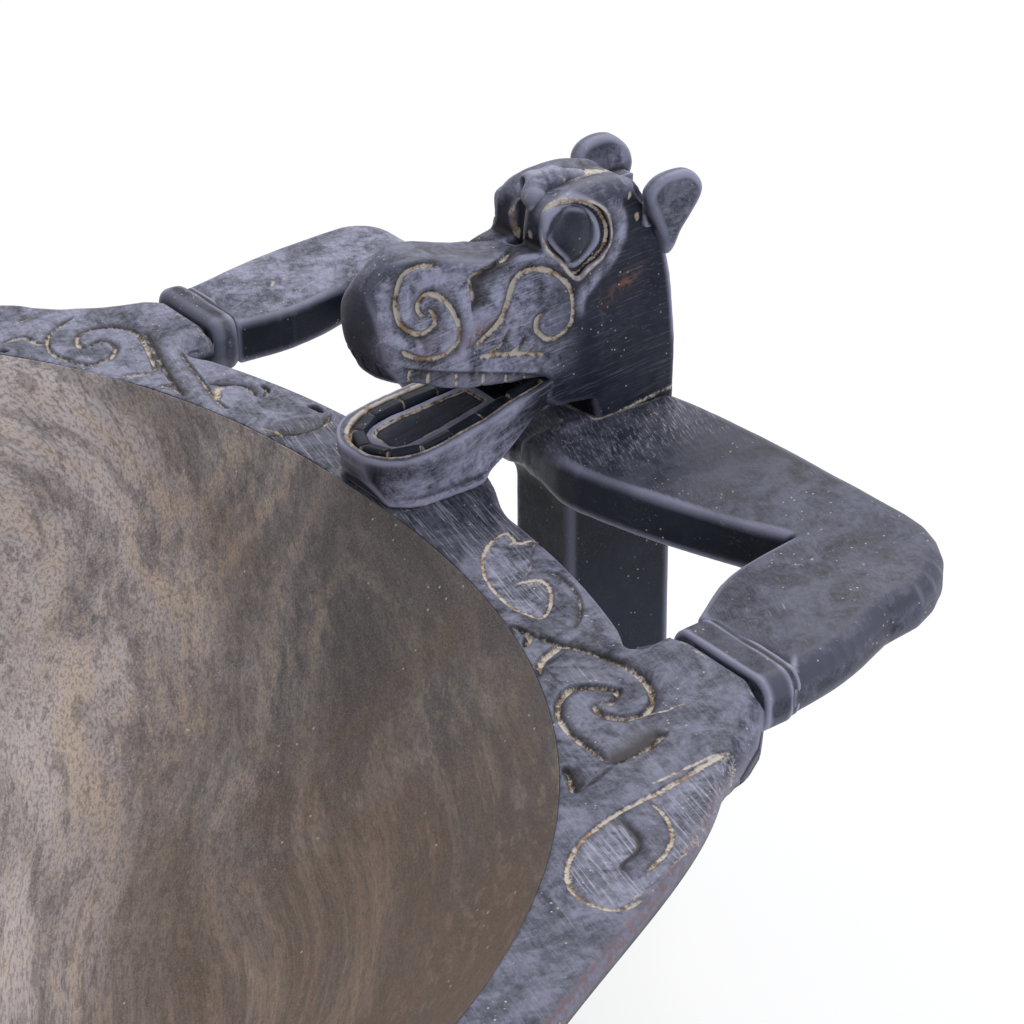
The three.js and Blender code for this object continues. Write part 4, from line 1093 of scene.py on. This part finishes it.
def blackened_wood(name, look, grain_turn=(0, 0, 0), scratchy=1.0, gloss=1.0, traits=True):
    """Dark satin wood with fine scratches, pale specks, and lime left in the cuts, with painted sheen,
    painted edge highlights and painted shade in the cuts.
    """
    finish = Finish(name)
    tone = finish.noise(finish.object, 16, 4, 0.6)
    blotch = finish.noise(finish.object, 75, 5, 0.65, 0.6)
    mottle = finish.noise(finish.object, 420, 5, 0.78)
    colour = finish.mix(tone.ramp(0.25, 0.65), look.black_dark, look.black_light)
    scratch = finish.noise(finish.stretch((60, 1500, 1500), grain_turn), 1.0, 3, 0.75)
    long_scratch = finish.noise(finish.stretch((26, 700, 700), grain_turn), 1.0, 2, 0.5)
    patch = finish.noise(finish.object, 50, 3, 0.6).ramp(0.40, 0.66)
    scratches = scratch.ramp(0.56, 0.72) * patch * (0.22 * scratchy)
    scratches = scratches.most(long_scratch.ramp(0.72, 0.78) * patch * (0.6 * scratchy))
    rubbed = blotch.ramp(0.42, 0.72) * (0.04 * scratchy)
    if traits:
        mixed = mottle.ramp(0.38, 0.62) * 0.36 + blotch.ramp(0.38, 0.62) * 0.54
        mixed = mixed + scratch.ramp(0.44, 0.62) * 0.12
        # Painted sheen: faces marked as turned to the light take the polish colour, along with real rubbing.
        rubbed = rubbed + finish.trait("scuff_and_sheen") * (mixed * 1.15 + 0.06)
        scratches = scratches.most(scratch.ramp(0.50, 0.68) * finish.trait("scored") * 0.6)
        # Painted highlight and wear on outward edges, in the polish colour.
        rubbed = rubbed.most(finish.trait("wear_and_highlight") * 0.8)
    colour = finish.mix(rubbed, colour, look.polish_and_sheen)
    if traits:
        rub = finish.trait("rub") * mottle.ramp(0.4, 0.6)
        colour = finish.mix(rub * 0.7, colour, look.red_rub)
    colour = finish.mix(scratches, colour, look.scratch)
    chance = finish.noise(finish.object, 90, 2, 0.5).ramp(0.50, 0.62)
    colour = finish.mix(finish.specks(420.0, 0.08, chance) * 0.8, colour, look.lime)
    rough = tone.ramp(0.3, 0.7) * 0.10 + (blotch.ramp(0.35, 0.65) * 0.16 + mottle.ramp(0.4, 0.7) * 0.08)
    rough = (rough + look.satin) * gloss
    height = scratch * 0.5 + mottle * 0.7
    if traits:
        # Painted shade in the cuts and concave places.
        colour = finish.mix(finish.trait("hollow") * 0.85, colour, look.crevice_shade)
        grit = finish.noise(finish.object, 700, 4, 0.75)
        patchy = finish.noise(finish.object, 210, 3, 0.6)
        lime = (finish.trait("lime") + (grit - 0.5) * 1.3 + (patchy - 0.5) * 0.9).ramp(0.38, 0.90)
        shade = (patchy + (grit - 0.5) * 0.6).ramp(0.38, 0.56)
        lime_colour = finish.mix(shade, look.ochre, look.lime)
        colour = finish.mix(lime * 0.9, colour, lime_colour)
        rough = rough + lime * 0.4
        height = height + lime * grit * 0.8
    rough = rough + scratches * 0.25
    normal = finish.bump(height, 0.35, 0.0006)
    return finish.set(Base_Color=colour, Roughness=rough, Normal=normal, Specular_IOR_Level=look.sheen)


def bowl_wood(look):
    """Oiled brown wood with a swirling figure, as inside the bowl, darker towards one side."""
    finish = Finish("oiled_bowl_wood")
    bend = finish.noise(finish.object, 2.8, 2.0, output="Color")
    pull = finish.add("ShaderNodeVectorMath", {"operation": "MULTIPLY_ADD"},
                      [bend, (0.26, 0.26, 0.10), finish.object])
    along = (0, 0, 1.2)
    cloud = finish.noise(finish.stretch((3.0, 9, 9), along, pull), 1.0, 3, 0.5, 0.3)
    rings = finish.noise(finish.stretch((1.8, 50, 50), along, pull), 1.0, 3, 0.6, 0.1)
    flow = finish.noise(finish.stretch((2.6, 7, 7), along, pull), 1.0, 1, 0.35, 0.2)
    wave = (flow * 75 + rings * 7).math("SINE")
    hairs = finish.noise(finish.stretch((1.6, 260, 260), along, pull), 1.0, 2, 0.6, 0.1)
    pores = finish.noise(finish.stretch((260, 1100, 1100), along, pull), 1.0, 3, 0.7)
    grains = finish.noise(finish.object, 1500, 3, 0.8)
    # Darker towards +x and -y and lighter away from them: partly the wood's own two-tone colour, partly
    # painted shade on that wall.
    side = (finish.part(finish.object, "X") - finish.part(finish.object, "Y") * 0.9).ramp(-0.15, 0.40)
    colour = finish.colours(cloud * 0.66 + rings * 0.34 + side * -0.16 + 0.150, [
        (0.36, look.wood_dark), (0.50, look.wood), (0.66, look.wood_light)])
    darker_wood_and_shade = (side + (cloud - 0.5) * 1.10).ramp(0.46, 1.04)
    colour = finish.mix(darker_wood_and_shade * 0.88, colour, look.wood_dark)
    fresh = finish.noise(finish.object, 8, 3, 0.6).ramp(0.40, 0.60)
    faint = 1 - darker_wood_and_shade * 0.65
    colour = finish.mix(wave.ramp(0.50, 1.0) * (fresh * 0.45 + 0.12) * faint, colour, look.wood_hair)
    colour = finish.mix((1 - wave.ramp(-1.0, -0.45)) * 0.35, colour, look.wood_dark)
    colour = finish.mix(hairs.ramp(0.54, 0.62) * fresh * faint * 0.5, colour, look.wood_hair)
    colour = finish.mix((1 - hairs.ramp(0.38, 0.46)) * 0.4, colour, look.wood_dark)
    warm = finish.noise(finish.object, 8, 3, 0.6, 0.8).ramp(0.44, 0.62) * darker_wood_and_shade
    colour = finish.mix(warm * 0.45, colour, look.wood_warm)
    colour = finish.mix(pores.ramp(0.46, 0.60) * 0.48, colour, look.wood_dark)
    colour = finish.mix(grains.ramp(0.50, 0.64) * faint * 0.30, colour, look.wood_light)
    chance = finish.noise(finish.object, 30, 2, 0.5).ramp(0.56, 0.60)
    colour = finish.mix(finish.specks(230.0, 0.06, chance) * 0.8, colour, look.lime)
    normal = finish.bump(pores * 0.6 + rings * 0.3 + grains * 0.3, 0.2, 0.0005)
    return finish.set(Base_Color=colour, Roughness=cloud * 0.12 + 0.40, Normal=normal,
                      Specular_IOR_Level=look.bowl_sheen)


# ---------------------------------------------------------------- settings

def length_of(name, description, default):
    return FloatProperty(name=name, description=description, default=default, min=0.0, unit="LENGTH",
                         precision=4)


def share_of(name, description, default):
    return FloatProperty(name=name, description=description, default=default, min=0.0, max=1.0,
                         subtype="FACTOR")


def colour_of(name, description, default):
    return FloatVectorProperty(name=name, description=description, default=default, size=3, min=0.0, max=1.0,
                               subtype="COLOR")


class FEAST_PG_carving(bpy.types.PropertyGroup):
    """Sizes of the carving."""

    head_cell: length_of("Head cell", "Size of the mesh cells on the heads, jaws and tongues", 0.0006)
    body_cell: length_of("Body cell", "Size of the mesh cells on the posts and arms", 0.0011)
    small_cell: length_of("Small cell", "Size of the mesh cells on the eyes, ears, crests and bands", 0.0007)
    rim_cell: length_of("Rim cell", "Spacing of the mesh lines on the carved ends of the rim", 0.00062)
    tooth_width: length_of("Tooth width", "Width of a tooth of the lower jaw", 0.0042)
    tooth_height: length_of("Tooth height", "Height of a tooth of the lower jaw", 0.0060)


class FEAST_PG_look(bpy.types.PropertyGroup):
    """Colours of the finishes."""

    # Painted shade at the bottom of the cuts and in concave places.
    crevice_shade: colour_of("Soot", "Tone at the bottom of the cuts", (0.016, 0.011, 0.008))
    black_dark: colour_of("Black, dark", "Darkest tone of the blackened wood", (0.007, 0.009, 0.014))
    black_light: colour_of("Black, light", "Lighter tone of the blackened wood", (0.018, 0.021, 0.034))
    # Tone of rubbed faces, and of painted sheen on faces turned to the light and painted highlights on edges.
    polish_and_sheen: colour_of("Polish", "Tone of rubbed faces and edges", (0.34, 0.34, 0.44))
    scratch: colour_of("Scratch", "Tone of fine scratches", (0.42, 0.42, 0.48))
    lime: colour_of("Lime", "Pale lime left in the cuts", (0.56, 0.50, 0.42))
    ochre: colour_of("Ochre", "Brown dust left in the cuts", (0.33, 0.21, 0.12))
    red_rub: colour_of("Red rub", "Red-brown wood where the black is rubbed off", (0.16, 0.075, 0.05))
    wood_dark: colour_of("Wood, dark", "Darkest tone inside the bowl", (0.066, 0.057, 0.052))
    wood: colour_of("Wood", "Middle tone inside the bowl", (0.43, 0.365, 0.345))
    wood_light: colour_of("Wood, light", "Lighter tone inside the bowl", (0.70, 0.61, 0.58))
    wood_hair: colour_of("Wood, hair lines", "Tone of fine pale lines inside the bowl", (0.55, 0.42, 0.30))
    wood_warm: colour_of("Wood, warm", "Warm tone inside the bowl", (0.16, 0.09, 0.045))
    satin: share_of("Satin", "Roughness of the smoothest blackened wood", 0.30)
    sheen: share_of("Sheen", "Strength of the gloss of the blackened wood", 0.13)
    bowl_sheen: share_of("Bowl sheen", "Strength of the gloss of the wood inside the bowl", 0.18)
    floor: colour_of("Floor", "Colour of the floor", (0.88, 0.88, 0.88))


class FeastOperator(bpy.types.Operator):
    """Base of the operators that carve the bowl."""

    bl_options = {"REGISTER", "UNDO"}

    def execute(self, context):
        self.carve(context.scene.feast_carving, context.scene.feast_look)
        return {"FINISHED"}


class FEAST_OT_bowl(FeastOperator):
    """Turns the bowl's hollow, outside and foot"""

    bl_idname = "feast.bowl"
    bl_label = "Bowl"

    def carve(self, sizes, look):
        points, faces, inside = bowl_wall()
        points = points * MM + (0, 0, RIM)
        piece = make_piece("bowl_hollow_and_foot", points, faces, bowl_wood(look))
        piece.data.materials.append(blackened_wood("blackened_bowl", look, (0, 0, 0.4), 0.6, traits=False))
        outside = (inside[faces].min(axis=1) < 0.5).astype(np.int32)
        piece.data.polygons.foreach_set("material_index", outside)
        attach(piece, BODY)
        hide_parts("bowl")


class FEAST_OT_rim(FeastOperator):
    """Carves the two halves of the rim with their scrolls, hands and wrists"""

    bl_idname = "feast.rim"
    bl_label = "Rim"

    def carve(self, sizes, look):
        material = blackened_wood("blackened_rim", look, (0, 0, 1.35))
        both_ends("rim_carving", rim_carving(sizes.rim_cell / MM), material, "bowl")


class FEAST_OT_bodies(FeastOperator):
    """Carves each figure's post, chest and arms"""

    bl_idname = "feast.bodies"
    bl_label = "Posts and Arms"

    def carve(self, sizes, look):
        made = carved_solid(body_field, (28, -178, -168), (122, 190, 20), sizes.body_cell / MM, body_detail)
        material = blackened_wood("blackened_arms", look, (0, 0.1, 1.2), 0.7)
        both_ends("body_carving", made, material, "{}_post", "{}_left_arm", "{}_right_arm")


class FEAST_OT_heads(FeastOperator):
    """Carves each figure's head with its scrolls, brows and eye sockets"""

    bl_idname = "feast.heads"
    bl_label = "Heads"

    def carve(self, sizes, look):
        made = carved_solid(head_field, (-2, -22, 2), (116, 22, 94), sizes.head_cell / MM, head_detail)
        both_ends("head_carving", made, blackened_wood("blackened_heads", look, (0, -0.12, 0)), "{}_head")


class FEAST_OT_small(FeastOperator):
    """Carves the eyes, ears, crests and wrist bands"""

    bl_idname = "feast.small"
    bl_label = "Eyes, Ears, Crests and Bands"

    def carve(self, sizes, look):
        cell = sizes.small_cell / MM
        material = blackened_wood("blackened_trim", look, (0, 0.3, 0.2), 0.8)
        glossy = blackened_wood("blackened_eyes", look, (0, 0.3, 0.2), 0.7, gloss=0.55)
        made = carved_solid(crest_field, (56, -9, 74), (90, 9, 95), cell, plain_detail(81, 0.7, 0.12, 0.8))
        both_ends("crest_carving", made, material, "{}_crest")
        band_box = (18, 118, -16), (38, 174, 10)
        for name, right, left, box, finish, seed in (
                ("eye", eye_field, eye_field, ((58, 10, 56), (86, 20, 86)), glossy, (84, 0.2, 0.04, 0.05)),
                ("ear", ear_field, ear_field, ((90, 4, 54), (120, 26, 92)), material, (87, 0.4, 0.08, 0.7)),
                ("band", right_band_field, left_band_field, band_box, material, (90, 0.4, 0.08, 0.3))):
            made = carved_solid(right, *box, cell, plain_detail(*seed))
            both_ends(f"right_{name}_carving", made, finish, "{}_right_" + name)
            if left is not right:
                made = carved_solid(left, *box, cell, plain_detail(*seed))
            both_ends(f"left_{name}_carving", mirrored(*made), finish, "{}_left_" + name)


class FEAST_OT_jaws(FeastOperator):
    """Carves each figure's lower jaw and tongue"""

    bl_idname = "feast.jaws"
    bl_label = "Jaws and Tongues"

    def carve(self, sizes, look):
        cell = sizes.head_cell / MM
        material = blackened_wood("blackened_jaws", look, (0, -0.2, 0.1))
        made = carved_solid(jaw_field, (-8, -24, -2), (86, 24, 30), cell, jaw_detail)
        both_ends("lower_jaw_carving", made, material, "{}_lower_jaw")
        material = blackened_wood("blackened_tongues", look, (0, -0.2, 0.1), gloss=1.5)
        made = carved_solid(tongue_field, (2, -13, 6), (50, 13, 28), cell, tongue_detail)
        both_ends("tongue_carving", made, material, "{}_tongue")


def tooth_tree(material):
    """Nodes that set a rounded tooth on each point of the gum line."""
    group = bpy.data.node_groups.new("teeth_on_gum_line", "GeometryNodeTree")
    for name, kind in (("Geometry", "Geometry"), ("Tooth Width", "Float"), ("Tooth Height", "Float")):
        group.interface.new_socket(name, in_out="INPUT", socket_type=f"NodeSocket{kind}")
    group.interface.new_socket("Geometry", in_out="OUTPUT", socket_type="NodeSocketGeometry")
    tree = Tree(group)
    line, width, height = (tree.add("NodeGroupInput", output=number) for number in range(3))
    block = tree.add("GeometryNodeMeshCube", {}, {"Vertices X": 9, "Vertices Y": 4, "Vertices Z": 4})
    soft = tree.add("GeometryNodeSubdivisionSurface", {}, {"Mesh": block, "Level": 1})
    half = tree.part(tree.add("GeometryNodeInputPosition"), "X").math("ABSOLUTE")
    tip = tree.add("ShaderNodeMapRange", {}, {"Value": half, "From Min": 0.455, "From Max": 0.495})
    limed = tree.add("GeometryNodeStoreNamedAttribute", {"data_type": "FLOAT", "domain": "POINT"},
                     {"Geometry": soft, "Name": "lime", "Value": tip})
    smooth = tree.add("GeometryNodeSetShadeSmooth", {}, {"Geometry": limed})
    facing, size = (tree.add("GeometryNodeInputNamedAttribute", {"data_type": kind}, {"Name": name})
                    for kind, name in (("FLOAT_VECTOR", "facing"), ("FLOAT", "tooth_length")))
    turn = tree.add("FunctionNodeAlignRotationToVector", {"axis": "X"}, {"Vector": facing})
    scale = tree.add("ShaderNodeCombineXYZ", {}, [size, width, height])
    spread = tree.add("GeometryNodeInstanceOnPoints", {},
                      {"Points": line, "Instance": smooth, "Rotation": turn, "Scale": scale})
    real = tree.add("GeometryNodeRealizeInstances", {}, {"Geometry": spread})
    done = tree.add("GeometryNodeSetMaterial", {}, {"Geometry": real, "Material": material})
    tree.feed(tree.nodes.new("NodeGroupOutput").inputs["Geometry"], done)
    return group


def gum_line(at=3.0, reach=0.35):
    """Middle, direction and length of each tooth round the lower jaw, from the first tooth's place on."""
    half = jaw_plan(6.2)[:-4]
    path = np.vstack([half[::-1] * (1, -1), half[1:]])
    sizes = [11.5, 12.5, 12.0, 11.0]
    front = run_along(path)[-1] - 2 * sum(sizes) - 2 * at
    spots = []
    for size in sizes + [front / 4] * 4 + sizes[::-1]:
        middle = at + size / 2
        first, last = places_along(path, [middle - size * reach, middle + size * reach])
        spots.append(((first + last) / 2, last - first, size + 0.1))
        at += size
    return spots


class FEAST_OT_teeth(FeastOperator):
    """Sets the teeth in each lower jaw"""

    bl_idname = "feast.teeth"
    bl_label = "Teeth"

    def carve(self, sizes, look):
        tree = tooth_tree(blackened_wood("blackened_teeth", look, (0, 0.2, 0.3), 0.8))
        given = {"Tooth Width": sizes.tooth_width, "Tooth Height": sizes.tooth_height}
        spots = gum_line()
        for prefix, end in ENDS:
            centres = [(u, y, LIP_FRONT + LIP_SLOPE * u - 3.0) for (u, y), _, _ in spots]
            data = bpy.data.meshes.new(f"{prefix}_gum_line")
            data.from_pydata(place(centres, end).tolist(), [], [])
            ways = [(end * du, end * dy, LIP_SLOPE * du) for _, (du, dy), _ in spots]
            facing = data.attributes.new("facing", "FLOAT_VECTOR", "POINT")
            facing.data.foreach_set("vector", np.array(ways, np.float32).ravel())
            size = data.attributes.new("tooth_length", "FLOAT", "POINT")
            size.data.foreach_set("value", np.array([reach * MM for _, _, reach in spots], np.float32))
            guide = new_object(f"{prefix}_gum_line", data)
            modifier = guide.modifiers.new("Teeth", "NODES")
            modifier.node_group = tree
            for item in tree.interface.items_tree:
                if item.in_out == "INPUT" and item.name in given:
                    modifier[item.identifier] = given[item.name]
            graph = bpy.context.evaluated_depsgraph_get()
            mesh = bpy.data.meshes.new_from_object(guide.evaluated_get(graph))
            bpy.data.objects.remove(guide)
            piece = new_object(f"{prefix}_teeth", mesh)
            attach(piece, BODY)


class FEAST_OT_stage(FeastOperator):
    """Lays the floor, hangs the lamps and sets up the camera"""

    bl_idname = "feast.stage"
    bl_label = "Floor, Light and Camera"

    def carve(self, sizes, look):
        scene = bpy.context.scene
        scene.view_settings.view_transform = "Standard"
        self.add_floor(look)
        self.add_light(scene)
        camera = bpy.data.cameras.new("camera")
        camera.lens, camera.sensor_width, camera.clip_end = 98.4375, 36, 20
        eye = new_object("camera", camera)
        bearing, dip, roll = (math.radians(turn) for turn in CAMERA_TURN)
        ahead = Vector((math.cos(dip) * math.cos(bearing), math.cos(dip) * math.sin(bearing), -math.sin(dip)))
        right = ahead.cross(Vector((0, 0, 1))).normalized()
        up = right.cross(ahead)
        level = (right * math.cos(roll) + up * math.sin(roll), up * math.cos(roll) - right * math.sin(roll))
        turn = Matrix((level[0], level[1], -ahead)).transposed()
        eye.matrix_world = Matrix.Translation(CAMERA_SPOT) @ turn.to_4x4()
        scene.camera = eye

    def add_floor(self, look):
        finish = Finish("pale_floor")
        material = finish.set(Base_Color=look.floor, Roughness=0.9)
        glow = finish.add("ShaderNodeEmission", {}, {"Color": (1, 1, 1), "Strength": 1.0})
        base = Socket(finish, finish.shader.outputs["BSDF"])
        blend = finish.add("ShaderNodeMixShader", {}, [finish.seen() * 0.8, base, glow])
        finish.feed(finish.nodes["Material Output"].inputs["Surface"], blend)
        points = [(-6, -6, 0), (6, -6, 0), (6, 6, 0), (-6, 6, 0)]
        make_piece("floor", points, [(0, 1, 2, 3)], material)

    def add_light(self, scene):
        scene.world = bpy.data.worlds.new("studio")
        scene.world.use_nodes = True
        sky = Tree(scene.world.node_tree)
        way = sky.add("ShaderNodeTexCoord", output="Generated")
        ground = sky.nodes["Background"]
        sky.feed(ground.inputs["Color"], (0.88, 0.92, 1.0))
        sky.feed(ground.inputs["Strength"],
                 sky.part(way, "X") * 0.28 + 0.26 + sky.part(way, "Y") * 0.05 + sky.part(way, "Z") * 0.74)
        white = sky.add("ShaderNodeBackground", {}, {"Color": (1, 1, 1)})
        blend = sky.add("ShaderNodeMixShader", {}, [sky.seen(), Socket(sky, ground.outputs[0]), white])
        sky.feed(sky.nodes["World Output"].inputs["Surface"], blend)
        for name, spot, aim, size, power, tint in (
                ("window", (1.3, 0.7, 1.9), (0.1, 0, 0.1), 0.9, 30, (1.0, 0.98, 0.98)),
                ("fill", (0.2, -2.0, 0.8), (0.3, 0, 0.15), 0.5, 12, (0.84, 0.88, 1.0))):
            lamp = bpy.data.lights.new(name, "AREA")
            lamp.size, lamp.energy, lamp.color = size, power, tint
            holder = new_object(name, lamp)
            holder.location = spot
            holder.rotation_euler = (Vector(aim) - Vector(spot)).to_track_quat("-Z", "Y").to_euler()


class FEAST_PT_panel(bpy.types.Panel):
    """Lists the sizes, the colours and the steps of the carving."""

    bl_label = "Feast Bowl"
    bl_idname = "FEAST_PT_panel"
    bl_space_type = "VIEW_3D"
    bl_region_type = "UI"
    bl_category = "Feast Bowl"

    def draw(self, context):
        for title, group in (("Sizes", context.scene.feast_carving), ("Finishes", context.scene.feast_look)):
            box = self.layout.box()
            box.label(text=title)
            for name in group.bl_rna.properties.keys():
                if name not in ("name", "rna_type"):
                    box.prop(group, name)
        for operator in OPERATORS:
            self.layout.operator(operator.bl_idname)


# The steps of the carving, in their order.
OPERATORS = (FEAST_OT_stage, FEAST_OT_bowl, FEAST_OT_rim, FEAST_OT_bodies, FEAST_OT_heads, FEAST_OT_small,
             FEAST_OT_jaws, FEAST_OT_teeth)
CLASSES = (FEAST_PG_carving, FEAST_PG_look, *OPERATORS, FEAST_PT_panel)


def register():
    for item in CLASSES:
        bpy.utils.register_class(item)
    bpy.types.Scene.feast_carving = PointerProperty(type=FEAST_PG_carving)
    bpy.types.Scene.feast_look = PointerProperty(type=FEAST_PG_look)


def unregister():
    del bpy.types.Scene.feast_look
    del bpy.types.Scene.feast_carving
    for item in reversed(CLASSES):
        bpy.utils.unregister_class(item)


def main():
    register()
    for step in (bpy.ops.feast.stage, bpy.ops.feast.bowl, bpy.ops.feast.rim, bpy.ops.feast.bodies,
                 bpy.ops.feast.heads, bpy.ops.feast.small, bpy.ops.feast.jaws, bpy.ops.feast.teeth):
        step()


if __name__ == "__main__":
    main()
